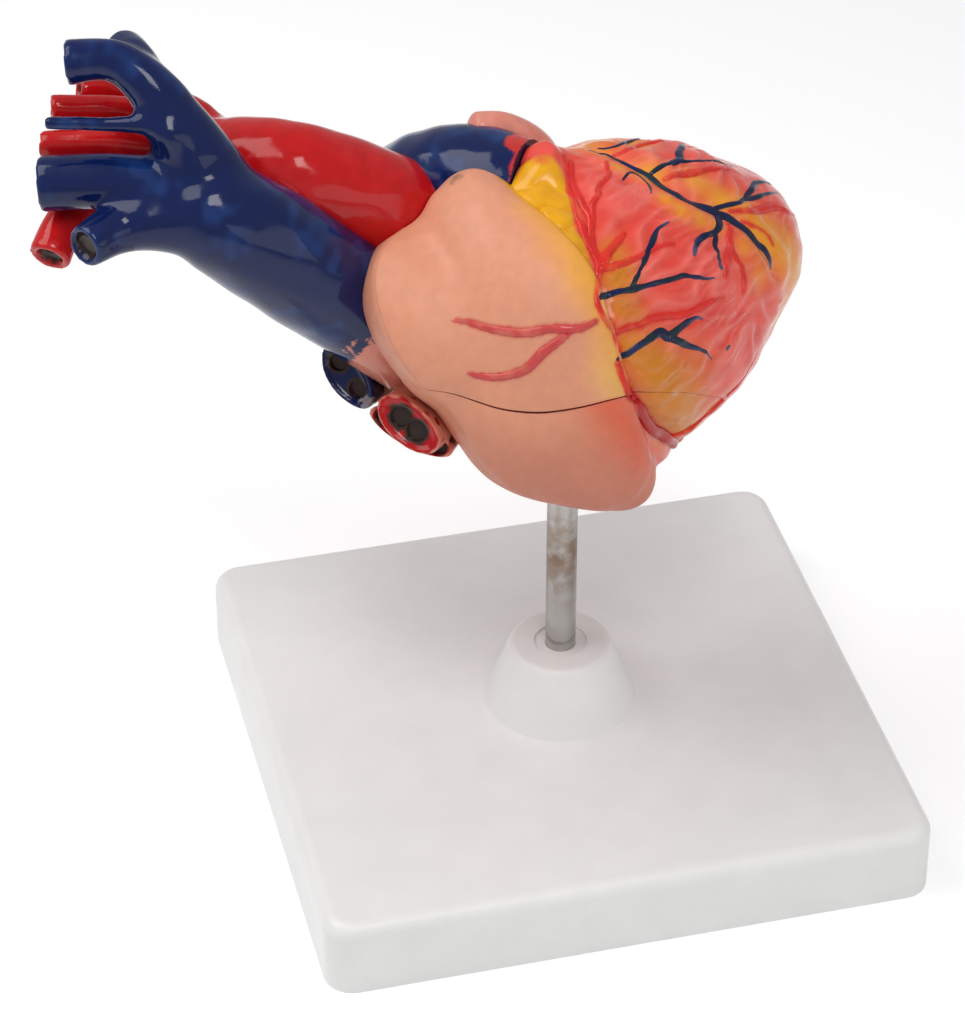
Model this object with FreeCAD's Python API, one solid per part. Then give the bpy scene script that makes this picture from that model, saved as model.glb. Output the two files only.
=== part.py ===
import FreeCAD, Part
import math
import os

# Human heart anatomy model on a white stand, life size, in millimetres.
# Row frame: origin under the rod on the table, +X along the slab's front
# edge, +Y to the back, +Z up.  The heart is modelled in its own frame, which
# is the row frame turned by HEART_TURN about the rod axis.

# ---- driving dimensions: stand ----
SLAB_X = 150.0
SLAB_Y = 145.0
SLAB_H = 20.0
SLAB_CORNER = 7.0
SLAB_EDGE = 3.5
SLAB_WALL = 2.6
RIB_T = 2.0
BOSS_R = 9.0
COLLAR_BASE_R = 19.0
COLLAR_TOP_R = 12.5
COLLAR_TOP_Z = 37.0
COLLAR_STEP_R = 6.6
SCREW_PITCH_R = 12.5
SCREW_HEAD_R = 3.0
SCREW_R = 1.5

# ---- driving dimensions: rod ----
ROD_R = 3.75
ROD_BORE_R = 2.75
ROD_BOTTOM_Z = 12.0
ROD_TOP_Z = 99.0
ROD_CLEAR = 0.05
SOCKET_R = 6.0
SOCKET_BOTTOM_Z = 88.0
SOCKET_CAP = 2.5

# ---- driving dimensions: heart ----
HEART_TURN = -14.0
LID_GAP = 0.3
WALL = 5.0
VENT_C = (-5.5, 0.0, 128.0)
AXIS_N = (0.797, 0.593, 0.124)
AXIS_T = (-0.48, 0.492, 0.73)
VENT_R = (36.5, 36.0, 39.0, 38.0)
VENT_TIP = 71.0
VENT_BASE = 27.0
ATR_C = (-12.0, -2.0, 130.0)
ATR_F = (0.0, -0.826, 0.564)
ATR_OUTLINE = (22.0, 23.0, 24.5, 27.0, 31.5, 40.0, 38.5, 35.0, 37.5, 37.0, 33.0, 29.5,
               28.0, 28.0, 29.0, 31.5, 36.0, 41.0, 47.5, 46.0, 34.5, 25.5, 22.5, 21.5)
ATR_FRONT = 28.0
ATR_BACK = 30.0
LEFT_ATR_C = (-24.0, 15.0, 115.0)
LEFT_ATR_R = 23.5
LID_POINT = (0.0, -31.0, 132.0)
LID_UP = (0.04, 0.42, 0.906)
RIDGE_POINT = (-38.0, -20.0, 146.0)
RIDGE_N = (0.72, -0.36, 0.59)
ROOT_POINT = (-8.0, 16.0, 164.0)
ROOT_N = (0.925, -0.36, 0.11)
ATR_SHELL_DEPTH = 8.0
LIFT_DIR = (0.06, 0.12, 0.99)
VESSEL_CLEAR = 0.4
MAGNET_R = 2.0
MAGNET_H = 3.0

os.makedirs("parts", exist_ok=True)
VEC = FreeCAD.Vector


# ---- vector helpers ----
def vec(p):
    return VEC(p[0], p[1], p[2])


def unit(p):
    v = VEC(p[0], p[1], p[2])
    v.normalize()
    return v


def at(origin, axes, a, b, c):
    """Point at local coordinates a, b, c of three axes."""
    return origin + axes[0] * a + axes[1] * b + axes[2] * c


N = unit(AXIS_N)
T0 = unit(AXIS_T)
T = unit(T0 - N * T0.dot(N))
B = N.cross(T)
VC = vec(VENT_C)
VAX = (B, T, N)
F = unit(ATR_F)
U = unit(T - F * T.dot(F))
S = U.cross(F)
AC = vec(ATR_C)
AAX = (S, U, F)
LID_N = unit(LID_UP)


# ---- smooth solids from planar rings ----
def ring_value(table, angle):
    """Periodic Catmull-Rom reading of evenly spaced radii."""
    m = len(table)
    x = (angle / (2.0 * math.pi) * m) % m
    i = int(x)
    s = x - i
    a = table[(i - 1) % m]
    b = table[i % m]
    c = table[(i + 1) % m]
    d = table[(i + 2) % m]
    return 0.5 * (2 * b + (c - a) * s + (2 * a - 5 * b + 4 * c - d) * s ** 2
                  + (3 * b - a - 3 * c + d) * s ** 3)


def half_ellipse(radii, angle):
    """Ellipse radius with its own half-axis in each of four directions."""
    ca = math.cos(angle)
    sa = math.sin(angle)
    p = radii[0] if ca > 0 else radii[1]
    q = radii[2] if sa > 0 else radii[3]
    return 1.0 / math.sqrt((ca / p) ** 2 + (sa / q) ** 2)


def pillow(origin, axes, radius, front, back, power, count, polar=(6, 17, 30, 45, 60, 75, 90)):
    """Rounded body: planar rings of radius(angle) stacked along axes[2]."""
    steps = list(polar) + [180 - p for p in reversed(polar[:-1])]
    wires = []
    for p in steps:
        ph = math.radians(p)
        size = math.sin(ph) ** (2.0 / power)
        height = abs(math.cos(ph)) ** (2.0 / power)
        depth = front * height if p <= 90 else -back * height
        pts = []
        for k in range(count):
            a = 2.0 * math.pi * k / count
            r = radius(a) * size
            pts.append(at(origin, axes, r * math.cos(a), r * math.sin(a), depth))
        curve = Part.BSplineCurve()
        curve.interpolate(Points=pts, PeriodicFlag=True)
        wires.append(Part.Wire([curve.toShape()]))
    return Part.makeLoft(wires, True, False)


def ellipsoid(origin, axes, ra, rb, rc):
    """Ellipsoid with radii ra, rb, rc along the three axes."""
    m = FreeCAD.Matrix(axes[0].x * ra, axes[1].x * rb, axes[2].x * rc, origin.x,
                       axes[0].y * ra, axes[1].y * rb, axes[2].y * rc, origin.y,
                       axes[0].z * ra, axes[1].z * rb, axes[2].z * rc, origin.z,
                       0, 0, 0, 1)
    return Part.makeSphere(1.0).transformGeometry(m)


def half_space(point, normal, size=260.0):
    """Big box whose near face passes through point, filling the side of normal."""
    box = Part.makeBox(size, size, size, VEC(-size / 2, -size / 2, 0))
    turn = FreeCAD.Rotation(VEC(0, 0, 1), normal)
    box.Placement = FreeCAD.Placement(point, turn)
    return box


def row_at(points, i, s):
    """Catmull-Rom reading of rows at span i, fraction s."""
    last = len(points) - 1
    a = points[i]
    b = points[i + 1]
    size = len(a)
    before = points[i - 1] if i > 0 else [2 * a[k] - b[k] for k in range(size)]
    after = points[i + 2] if i + 2 <= last else [2 * b[k] - a[k] for k in range(size)]
    row = []
    for k in range(size):
        row.append(0.5 * (2 * a[k] + (b[k] - before[k]) * s
                          + (2 * before[k] - 5 * a[k] + 4 * b[k] - after[k]) * s ** 2
                          + (3 * a[k] - before[k] - 3 * b[k] + after[k]) * s ** 3))
    return row


def even_rows(points, spacing):
    """Rows of x, y, z, radius at nearly equal steps along the smooth path."""
    fine = []
    last = len(points) - 1
    for i in range(last):
        for k in range(8):
            fine.append(row_at(points, i, k / 8.0))
    fine.append(list(points[last]))
    run = [0.0]
    for i in range(1, len(fine)):
        run.append(run[-1] + (vec(fine[i]) - vec(fine[i - 1])).Length)
    count = max(2, int(round(run[-1] / spacing)))
    out = []
    j = 0
    for i in range(count + 1):
        want = run[-1] * i / count
        while j < len(run) - 2 and run[j + 1] < want:
            j += 1
        f = (want - run[j]) / (run[j + 1] - run[j])
        out.append([fine[j][k] + (fine[j + 1][k] - fine[j][k]) * f for k in range(4)])
    return out


def tube(points, grow=0.0, spacing=5.0):
    """Solid round tube through rows of x, y, z, radius."""
    rows = even_rows(points, spacing)
    wires = []
    side = VEC(0.37, 0.61, 0.7)
    for i, row in enumerate(rows):
        a = rows[max(i - 1, 0)]
        b = rows[min(i + 1, len(rows) - 1)]
        way = unit((b[0] - a[0], b[1] - a[1], b[2] - a[2]))
        side = side - way * side.dot(way)
        side.normalize()
        wires.append(Part.Wire([ring(vec(row), side, way.cross(side), row[3] + grow)]))
    body = Part.makeLoft(wires, True, False)
    if body.Volume < 0:
        body.reverse()
    return body


def ring(centre, side, up, radius):
    """Closed round edge in the plane of side and up."""
    pts = []
    for k in range(12):
        a = 2.0 * math.pi * k / 12
        pts.append(centre + side * (radius * math.cos(a)) + up * (radius * math.sin(a)))
    curve = Part.BSplineCurve()
    curve.interpolate(Points=pts, PeriodicFlag=True)
    return curve.toShape()


def end_bore(points, at_end, radius, depth):
    """Short blind hole in one end of a vessel."""
    a = points[-1] if at_end else points[0]
    b = points[-2] if at_end else points[1]
    way = unit((a[0] - b[0], a[1] - b[1], a[2] - b[2]))
    start = VEC(a[0], a[1], a[2]) - way * depth
    return Part.makeCylinder(radius, depth + 3.0, start, way)


def fuse_all(shapes):
    body = shapes[0]
    if len(shapes) > 1:
        body = body.fuse(shapes[1:])
    return body


def cut_all(body, tools):
    for tool in tools:
        body = body.cut(tool)
    return body


# ---- vessel paths: x, y, z, radius ----
SVC = [(-29, -2, 123, 12.5), (-33, -2, 126, 13), (-46, -4, 140, 13.5), (-59, -6, 154, 13.5),
       (-71, -8, 167, 13), (-82, -9, 174, 12), (-89, -9, 176, 8.5), (-103, -10, 177, 6.6), (-119, -10, 176, 6.2)]
RIGHT_SUB_VEIN = [(-88, -10, 175, 8), (-94, -13, 174, 7), (-101, -18, 171, 5.6), (-107, -26, 170, 5.2)]
LEFT_BRACH_VEIN = [(-72, -8, 168, 8.5), (-79, -6, 179, 9.6), (-87, -4, 191, 7.6), (-94, -2, 199, 6.8),
                   (-102, 0, 202, 5.6), (-112, 0, 202, 5.4)]
LEFT_SUB_VEIN = [(-94, 0, 196, 6), (-97, 6, 199, 5.4), (-100, 14, 198, 5)]
THYROID_VEIN = [(-85, -10, 190, 3.5), (-89, -12, 192, 3.4), (-93, -10, 191, 2.2), (-104, -9, 191, 1.8),
                (-115, -9, 192, 1.6)]
AORTA = [(-22, 5, 136, 11), (-29, 7, 148, 13), (-38, 8, 156, 13.8), (-50, 8, 162, 13.4), (-61, 9, 166, 12.6),
         (-71, 12, 167, 11.6), (-78, 18, 164, 11), (-82, 29, 157, 10.5), (-81, 42, 142, 10),
         (-73, 51, 122, 9.6), (-65, 54, 106, 9.2)]
BRACHIO_ARTERY = [(-76, 11, 168, 7), (-82, 8, 171, 6), (-88, 5, 174, 5.2)]
RIGHT_CAROTID = [(-84, 7, 172, 5), (-91, 4, 176, 4.4), (-103, 4, 178, 4), (-119, 4, 178, 3.6)]
RIGHT_SUB_ARTERY = [(-84, 9, 170, 4.6), (-96, 7, 171, 4.4), (-106, 2, 169, 4.6), (-113, -6, 165, 4.8),
                    (-117, -15, 162, 5)]
LEFT_CAROTID = [(-80, 21, 168, 5), (-88, 17, 175, 3.8), (-100, 14, 181, 3.2), (-118, 12, 183, 3)]
LEFT_SUB_ARTERY = [(-80, 32, 160, 5.4), (-88, 31, 170, 4.4), (-101, 28, 177, 4), (-113, 25, 180, 3.6)]
TRUNK = [(-1, 9, 159, 13.0), (-6, 12, 159, 13.6), (-13, 15, 160, 13.6), (-23, 21, 157, 14), (-33, 28, 152, 12.8),
         (-40, 41, 143, 10), (-44, 54, 134, 8.5)]
RIGHT_PULM_ARTERY = [(-32, 28, 147, 9, 9), (-40, 28, 136, 8.5, 8.5), (-45, 17, 128, 8.5, 7.5), (-49, 4, 123, 9, 6),
                     (-51, -6, 121, 9.3, 5.2)]
LEFT_AURICLE = [(-22, 26, 170, 3.2), (-15, 28, 166, 5.5), (-9, 31, 158, 7.5), (-8, 33, 148, 9), (-12, 32, 138, 11),
                (-16, 28, 128, 12)]
CAVA_INFERIOR = [(2, 18, 104, 8.5), (5, 24, 92, 8.5), (8, 30, 81, 8.5)]

# ---- stubs of the left atrium: way from its centre, length beyond its skin, half length, half width ----
RIGHT_VEIN_ROWS = [(0, -1, -3, -20.3, 8, 7), (-6, -12, -3, -9.8, 8.6, 6.2), (-12, -26, -2, 5.2, 9.3, 5.2)]
LEFT_VEIN_UPPER_ROWS = [(-4, 9, 1, -13.6, 6), (-10, 21, 2, -0.1, 6), (-16, 30, 3, 10.6, 6)]
LEFT_VEIN_LOWER_ROWS = [(4, 9, -7, -11.4, 6), (2, 21, -10, -0.1, 6), (0, 31, -12, 9.7, 6)]
VEIN_OVAL_LONG = (0.77, -0.36, -0.53)
ARTERY_OVAL_LONG = (0.58, -0.46, -0.67)
OVAL_SPACING = 4.3
OVAL_MOUTH_R = 3.3
STUB_DEPTH = 4.0

# ---- chambers, in the ventricle axes (side, top, length) ----
LV_AT = (-14.0, -5.0, 22.0)
LV_CAVITY = (14.0, 20.0, 33.0)
SEPTUM_T = 6.0
RV_AT = (10.0, 0.0, 18.0)
RV_CAVITY = (21.0, 32.0, 26.0)
VALVE_WALL_LOW = 0.0
VALVE_WALL_HIGH = 5.0
TRICUSPID_AT = (11.0, -16.0)
TRICUSPID_R = 8.5
MITRAL_AT = (-17.0, -6.0)
MITRAL_R = 8.0
RA_CAVITY_AT = (-4.0, -12.0, 4.5)
RA_CAVITY = (17.5, 20.5, 16.5)
LA_CAVITY_AT = (-25.0, 19.0, 114.0)
LA_CAVITY_R = 15.0
TRI_DEEP = 9.0
MIT_DEEP = 8.0
AORTIC_VALVE_AT = (-8.0, 9.0, 134.0)
AORTIC_VALVE_R = 7.0
PULM_VALVE_AT = (-8.0, 15.0, 158.0)
PULM_VALVE_R = 8.5
LEFT_FEET = [(-16.0, -22.0, 26.0), (-10.0, -20.0, 33.0)]
LEFT_TIPS = [(-17.0, -10.0, 21.0), (-12.0, -9.0, 25.0)]
RIGHT_FEET = [(7.0, -30.0, 12.0), (9.0, -30.0, 19.0)]
RIGHT_TIPS = [(9.0, -20.0, 17.0), (13.0, -18.0, 23.0)]
LEAF_END = 7.0
SEPTUM_CLEAR = 4.0
MAGNETS_NEAR = [(-4.0, -29.0), (12.0, -26.0)]
MAGNET_BOSS_AT = (7.0, 30.0)
BOSS_PAD_R = 3.8

# ---- surface vessels: angle round the ventricle axis in degrees, length along it ----
RIGHT_CORONARY = [(60, 15), (42, 11), (29, 6), (20, 5), (2, -1), (-8, -3), (-25, -3), (-42, 0), (-60, 6), (-76, 13),
                  (-92, 16), (-108, 16)]
GREAT_CARDIAC_VEIN = [(66, 26), (51, 28), (35, 30), (22, 33), (10, 39), (3, 44), (-7, 47), (-22, 48)]
RV_VEIN = [(4, 1), (1, 5), (-1, 10), (-3, 17), (-7, 23), (-16, 31)]
RV_ARTERY = [(-11, 0), (-14, 8), (-17, 15), (-19, 22)]
MIDDLE_CARDIAC_VEIN = [(-100, 12), (-108, 22), (-116, 34), (-122, 46)]
SURFACE_R = 1.2
RCA_R = 1.7


def oval_tube(rows, long_dir):
    """Tube of oval rings, rows of x, y, z, half length, half width, with two round mouths."""
    wires = []
    last = len(rows) - 1
    for i, row in enumerate(rows):
        a = rows[max(i - 1, 0)]
        b = rows[min(i + 1, last)]
        way = unit((b[0] - a[0], b[1] - a[1], b[2] - a[2]))
        short = way.cross(unit(long_dir))
        short.normalize()
        along = short.cross(way)
        pts = []
        for k in range(16):
            t = 2.0 * math.pi * k / 16
            pts.append(vec(row) + along * (row[3] * math.cos(t)) + short * (row[4] * math.sin(t)))
        curve = Part.BSplineCurve()
        curve.interpolate(Points=pts, PeriodicFlag=True)
        wires.append(Part.Wire([curve.toShape()]))
    body = Part.makeLoft(wires, True, False)
    for sign in (-1.0, 1.0):
        mouth = vec(rows[last]) + along * (sign * OVAL_SPACING) - way * STUB_DEPTH
        body = body.cut(Part.makeCylinder(OVAL_MOUTH_R, STUB_DEPTH + 3.0, mouth, way))
    return body


def vent(a, b, c):
    """Point in the ventricle axes."""
    return at(VC, VAX, a, b, c)


def from_left_atrium(rows):
    """Path rows set off from the left atrium's skin along their ways."""
    out = []
    for row in rows:
        p = vec(LEFT_ATR_C) + unit(row) * (LEFT_ATR_R + row[3])
        out.append((p.x, p.y, p.z) + tuple(row[4:]))
    return out


RIGHT_PULM_VEINS = from_left_atrium(RIGHT_VEIN_ROWS)
LEFT_VEIN_UPPER = from_left_atrium(LEFT_VEIN_UPPER_ROWS)
LEFT_VEIN_LOWER = from_left_atrium(LEFT_VEIN_LOWER_ROWS)

# ---- outer bodies of the casting ----
ventricles = pillow(VC, VAX, lambda a: half_ellipse(VENT_R, a), VENT_TIP, VENT_BASE, 2.0, 20)
atrium = pillow(AC, AAX, lambda a: ring_value(ATR_OUTLINE, a), ATR_FRONT, ATR_BACK, 2.3, 24)
left_atrium = Part.makeSphere(LEFT_ATR_R, vec(LEFT_ATR_C))
outer = ventricles.fuse([atrium, left_atrium])

# ---- chambers ----
above_valves = half_space(vent(0, 0, VALVE_WALL_HIGH), N)
below_valves = half_space(vent(0, 0, VALVE_WALL_LOW), N * -1)
lv_outer = ellipsoid(vent(*LV_AT), VAX, LV_CAVITY[0] + SEPTUM_T, LV_CAVITY[1] + SEPTUM_T, LV_CAVITY[2] + SEPTUM_T)
lv_room = ellipsoid(vent(*LV_AT), VAX, *LV_CAVITY).common(above_valves)
rv_room = ellipsoid(vent(*RV_AT), VAX, *RV_CAVITY).common(above_valves).cut(lv_outer)
ra_room = ellipsoid(at(AC, AAX, *RA_CAVITY_AT), AAX, *RA_CAVITY).common(below_valves)
la_room = Part.makeSphere(LA_CAVITY_R, vec(LA_CAVITY_AT)).common(below_valves)
tri_hole = Part.makeCylinder(TRICUSPID_R, 16.0, vent(TRICUSPID_AT[0], TRICUSPID_AT[1], -6), N)
mit_hole = Part.makeCylinder(MITRAL_R, 20.0, vent(MITRAL_AT[0], MITRAL_AT[1], -10), N)
rooms = [lv_room, rv_room, ra_room, la_room, tri_hole, mit_hole]

# ---- removable front wall and rear casting ----
LIFT = unit(LIFT_DIR)
ROOT_P = vec(ROOT_POINT)
ROOT_DIR = unit(ROOT_N)
RIDGE_DIR = unit(RIDGE_N)


def front_zone(shift):
    """Space of the removable front, its faces moved outward by shift."""
    low = half_space(vec(LID_POINT) - LID_N * shift, LID_N)
    side = half_space(vec(RIDGE_POINT) - RIDGE_DIR * shift, RIDGE_DIR)
    root = half_space(ROOT_P - ROOT_DIR * shift, ROOT_DIR * -1)
    deep = half_space(AC + F * (ATR_SHELL_DEPTH - shift), F * -1)
    return low.common(side).cut(root.common(deep))


zone = front_zone(0.0)
rear_full = outer.cut(front_zone(LID_GAP))
root_side = half_space(ROOT_P - ROOT_DIR * LID_GAP, ROOT_DIR * -1)

aorta_tube = tube(AORTA)
trunk_tube = tube(TRUNK)
auricle_tube = tube(LEFT_AURICLE)
inner_v = pillow(VC, VAX, lambda a: half_ellipse([r - WALL for r in VENT_R], a), VENT_TIP - WALL,
                 VENT_BASE - WALL, 2.0, 20)
inner_v = inner_v.common(half_space(vent(0, 0, VALVE_WALL_HIGH + LID_GAP), N))
front_shell = outer.common(zone)
hollows = [inner_v, ra_room]
for hole, wide in ((TRICUSPID_AT, TRICUSPID_R), (MITRAL_AT, MITRAL_R)):
    hollows.append(Part.makeCylinder(wide + 0.9, 16.0, vent(hole[0], hole[1], -8), N))
for path in (AORTA, TRUNK, SVC, LEFT_AURICLE):
    clear = tube(path[:5], VESSEL_CLEAR)
    for step in (0.0, 5.0, 10.0):
        moved = clear.copy()
        moved.translate(LIFT * -step)
        hollows.append(moved.common(half_space(ROOT_P, ROOT_DIR * -1)))
front_shell = cut_all(front_shell, hollows)

rear_wall = cut_all(rear_full, rooms)

# ---- wall between the ventricles, standing on the rear casting ----
septum = ellipsoid(vent(*LV_AT), VAX, LV_CAVITY[0] + SEPTUM_T, LV_CAVITY[1] + SEPTUM_T, LV_CAVITY[2] + SEPTUM_T)
septum = septum.cut(ellipsoid(vent(*LV_AT), VAX, *LV_CAVITY))
septum = septum.common(half_space(vent(LV_AT[0] + 1.0, 0, 0), B))
septum = septum.common(half_space(vec(LID_POINT) - LID_N * LID_GAP, LID_N))
lid_room = pillow(VC, VAX, lambda a: half_ellipse([r - WALL - SEPTUM_CLEAR for r in VENT_R], a),
                  VENT_TIP - WALL - 6, VENT_BASE - WALL, 2.0, 20)
lid_room = lid_room.common(half_space(vent(0, 0, VALVE_WALL_HIGH + 1.5), N))
septum = septum.common(lid_room)

# The front wall lifts along LIFT, so the septum stays in the room swept from the mouth of the lid.
parting = Part.makePlane(200.0, 200.0, VEC(0, 0, 0))
parting.Placement = FreeCAD.Placement(VEC(0, 0, 0), FreeCAD.Rotation(VEC(0, 0, 1), LID_N))
parting.translate(vec(LID_POINT) - parting.CenterOfMass - LID_N * LID_GAP)
mouth = parting.common(lid_room)
septum = septum.common(mouth.extrude(LIFT * 80.0))
septum = septum.cut(root_side)


def biggest(shape):
    """The largest solid of a shape."""
    return max(shape.Solids, key=lambda x: x.Volume)


def stubbed(path, first, last, wall=1.8):
    """Tube whose free ends have short open mouths."""
    body = tube(path)
    if first:
        body = body.cut(end_bore(path, False, path[0][3] - wall, STUB_DEPTH))
    if last:
        body = body.cut(end_bore(path, True, path[-1][3] - wall, STUB_DEPTH))
    return body


# ---- great vessels ----
nodes = {}
nodes["rear_wall"] = rear_wall
nodes["front_shell"] = front_shell
nodes["septum"] = biggest(septum)
aorta_open = stubbed(AORTA, False, True)
nodes["aorta"] = aorta_open.cut(rear_full)
trunk_open = stubbed(TRUNK, False, True).common(root_side)
nodes["pulmonary_trunk"] = cut_all(trunk_open, [rear_full, aorta_tube])
svc_tube = tube(SVC)
svc_open = stubbed(SVC, False, True)
nodes["superior_vena_cava"] = cut_all(svc_open, [rear_full, aorta_tube])
left_vein = tube(LEFT_BRACH_VEIN)
nodes["left_brachiocephalic_vein"] = cut_all(stubbed(LEFT_BRACH_VEIN, False, True), [svc_tube, aorta_tube])
nodes["left_subclavian_vein"] = stubbed(LEFT_SUB_VEIN, False, True).cut(left_vein)
nodes["right_subclavian_vein"] = stubbed(RIGHT_SUB_VEIN, False, True).cut(svc_tube)
nodes["thyroid_vein"] = cut_all(tube(THYROID_VEIN), [svc_tube, left_vein])
brachio = tube(BRACHIO_ARTERY)
veins = [svc_tube, left_vein, tube(RIGHT_SUB_VEIN)]
nodes["brachiocephalic_artery"] = cut_all(brachio, [aorta_tube] + veins)
right_sub = tube(RIGHT_SUB_ARTERY)
nodes["right_subclavian_artery"] = cut_all(stubbed(RIGHT_SUB_ARTERY, False, True), [brachio, aorta_tube] + veins)
nodes["right_carotid_artery"] = cut_all(stubbed(RIGHT_CAROTID, False, True, 1.2),
                                        [aorta_tube, brachio, right_sub] + veins)
nodes["left_carotid_artery"] = cut_all(stubbed(LEFT_CAROTID, False, True, 1.2), [aorta_tube] + veins)
nodes["left_subclavian_artery"] = cut_all(stubbed(LEFT_SUB_ARTERY, False, True, 1.2), [aorta_tube] + veins)
rpa = oval_tube(RIGHT_PULM_ARTERY, ARTERY_OVAL_LONG)
nodes["right_pulmonary_artery"] = cut_all(rpa, [trunk_tube, aorta_tube, svc_tube, rear_full])
rpv = oval_tube(RIGHT_PULM_VEINS, VEIN_OVAL_LONG)
nodes["right_pulmonary_veins"] = cut_all(rpv, [rear_full, svc_tube])
lpv = stubbed(LEFT_VEIN_UPPER, False, True).fuse(stubbed(LEFT_VEIN_LOWER, False, True))
nodes["left_pulmonary_veins"] = lpv.cut(rear_full)
nodes["inferior_vena_cava"] = stubbed(CAVA_INFERIOR, False, True).cut(rear_full)
nodes["left_auricle"] = cut_all(auricle_tube.common(root_side), [rear_full, trunk_tube, aorta_tube])



# ---- valves ----
def valve(centre, axis, radius, deep, cusps):
    """Ring with a funnel of thin leaflets, axis pointing downstream."""
    side = axis.cross(VEC(0.3, 0.2, 1.0))
    side.normalize()
    ring = Part.makeCylinder(radius, 3.0, centre - axis * 1.5, axis)
    ring = ring.cut(Part.makeCylinder(radius - 1.2, 5.0, centre - axis * 2.5, axis))
    funnel = Part.makeCone(radius - 0.6, radius * 0.5, deep, centre - axis * 0.5, axis)
    funnel = funnel.cut(Part.makeCone(radius - 1.5, radius * 0.5 - 0.9, deep, centre - axis * 0.5, axis))
    for k in range(cusps):
        slot = Part.makeBox(radius, 0.8, deep, VEC(0, -0.4, 2.2))
        turn = FreeCAD.Rotation(VEC(0, 0, 1), 360.0 * k / cusps + 30.0)
        slot.Placement = FreeCAD.Placement(VEC(0, 0, 0), turn).multiply(slot.Placement)
        lay = FreeCAD.Rotation(VEC(0, 0, 1), axis)
        slot.Placement = FreeCAD.Placement(centre, lay).multiply(slot.Placement)
        funnel = funnel.cut(slot)
    return ring.fuse(funnel)


MID = 0.5 * (VALVE_WALL_LOW + VALVE_WALL_HIGH)
tri_c = vent(TRICUSPID_AT[0], TRICUSPID_AT[1], MID)
mit_c = vent(MITRAL_AT[0], MITRAL_AT[1], MID)
nodes["tricuspid_valve"] = valve(tri_c, N, TRICUSPID_R, TRI_DEEP, 3)
nodes["mitral_valve"] = valve(mit_c, N, MITRAL_R, MIT_DEEP, 2)


def root_face_point(p):
    """Point of the rear casting's flat root face nearest to p."""
    base = ROOT_P - ROOT_DIR * LID_GAP
    return p - ROOT_DIR * (p - base).dot(ROOT_DIR)


def seated_valve(p, radius, host):
    """Valve in a round recess of the flat root face: new host, valve."""
    face = root_face_point(vec(p))
    recess = Part.makeCylinder(radius, 7.0, face - ROOT_DIR * 6.0, ROOT_DIR)
    ring = valve(face - ROOT_DIR * 2.0, ROOT_DIR * -1, radius, 4.0, 3)
    ring = ring.common(Part.makeCylinder(radius + 0.01, 6.0, face - ROOT_DIR * 6.0, ROOT_DIR))
    return host.cut(recess), ring


nodes["rear_wall"], nodes["aortic_valve"] = seated_valve(AORTIC_VALVE_AT, AORTIC_VALVE_R, nodes["rear_wall"])
nodes["pulmonary_trunk"], nodes["pulmonary_valve"] = seated_valve(PULM_VALVE_AT, PULM_VALVE_R,
                                                                 nodes["pulmonary_trunk"])

# ---- papillary muscles and their cords ----


def cone_between(a, b, ra, rb):
    """Tapered round bar from point a to point b."""
    way = b - a
    return Part.makeCone(ra, rb, way.Length, a, way)


def muscle_set(feet, tips, ring_c, ring_r, room):
    """Muscles standing on the chamber floor, and cords from tips to leaflets."""
    muscles = []
    cords = []
    for foot, tip in zip(feet, tips):
        a = vent(*foot)
        b = vent(*tip)
        muscles.append(cone_between(a, b, 3.3, 2.0).fuse(Part.makeSphere(2.05, b)))
        for k in (-1.0, 0.0, 1.0):
            end = ring_c + B * (k * ring_r * 0.42) + T * (ring_r * 0.28 * (1.0 - abs(k))) + N * LEAF_END
            cords.append(cone_between(b + B * (1.25 * k), end, 0.5, 0.4))
    return muscles, cords


left_m, left_c = muscle_set(LEFT_FEET, LEFT_TIPS, mit_c, MITRAL_R, lv_room)
right_m, right_c = muscle_set(RIGHT_FEET, RIGHT_TIPS, tri_c, TRICUSPID_R, rv_room)
nodes["left_papillary_muscles"] = Part.makeCompound([m.cut(nodes["rear_wall"]) for m in left_m])
nodes["right_papillary_muscles"] = Part.makeCompound([cut_all(m, [nodes["rear_wall"], nodes["septum"]]) for m in right_m])
nodes["left_chordae"] = Part.makeCompound([cut_all(c, left_m + [nodes["mitral_valve"]]) for c in left_c])
nodes["right_chordae"] = Part.makeCompound([cut_all(c, right_m + [nodes["tricuspid_valve"]]) for c in right_c])


# ---- vessels on the surface ----
def on_ventricle(angle, length, lift=0.0):
    """Point on the ventricle surface, lifted outward by lift."""
    a = math.radians(angle)
    tip = VENT_TIP if length > 0 else VENT_BASE
    r = half_ellipse(VENT_R, a) * math.sqrt(1.0 - (length / tip) ** 2) + lift
    return vent(r * math.cos(a), r * math.sin(a), length)


def surface_vessel(rows, radius):
    """Half sunk tube that follows the ventricle surface."""
    path = []
    for i in range(len(rows) - 1):
        for s in (0.0, 0.5):
            p = row_at(rows, i, s)
            q = on_ventricle(p[0], p[1], 0.3)
            path.append((q.x, q.y, q.z, radius))
    q = on_ventricle(rows[-1][0], rows[-1][1], 0.3)
    path.append((q.x, q.y, q.z, radius * 0.6))
    return tube(path, 0.0, 3.5)


front_space = front_zone(-0.3)
rear_space = front_zone(LID_GAP + 0.3)
rca = surface_vessel(RIGHT_CORONARY, RCA_R)
branch = surface_vessel(RV_ARTERY, SURFACE_R).cut(rca)
nodes["front_coronary_arteries"] = Part.makeCompound([rca.common(front_space), branch])
nodes["rear_coronary_arteries"] = rca.cut(rear_space).cut(nodes["inferior_vena_cava"])
great = surface_vessel(GREAT_CARDIAC_VEIN, SURFACE_R + 0.2)
small = surface_vessel(RV_VEIN, SURFACE_R)
nodes["front_cardiac_veins"] = Part.makeCompound([great, small.cut(rca)])
nodes["rear_cardiac_veins"] = surface_vessel(MIDDLE_CARDIAC_VEIN, SURFACE_R).cut(rear_space).cut(rca)


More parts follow.
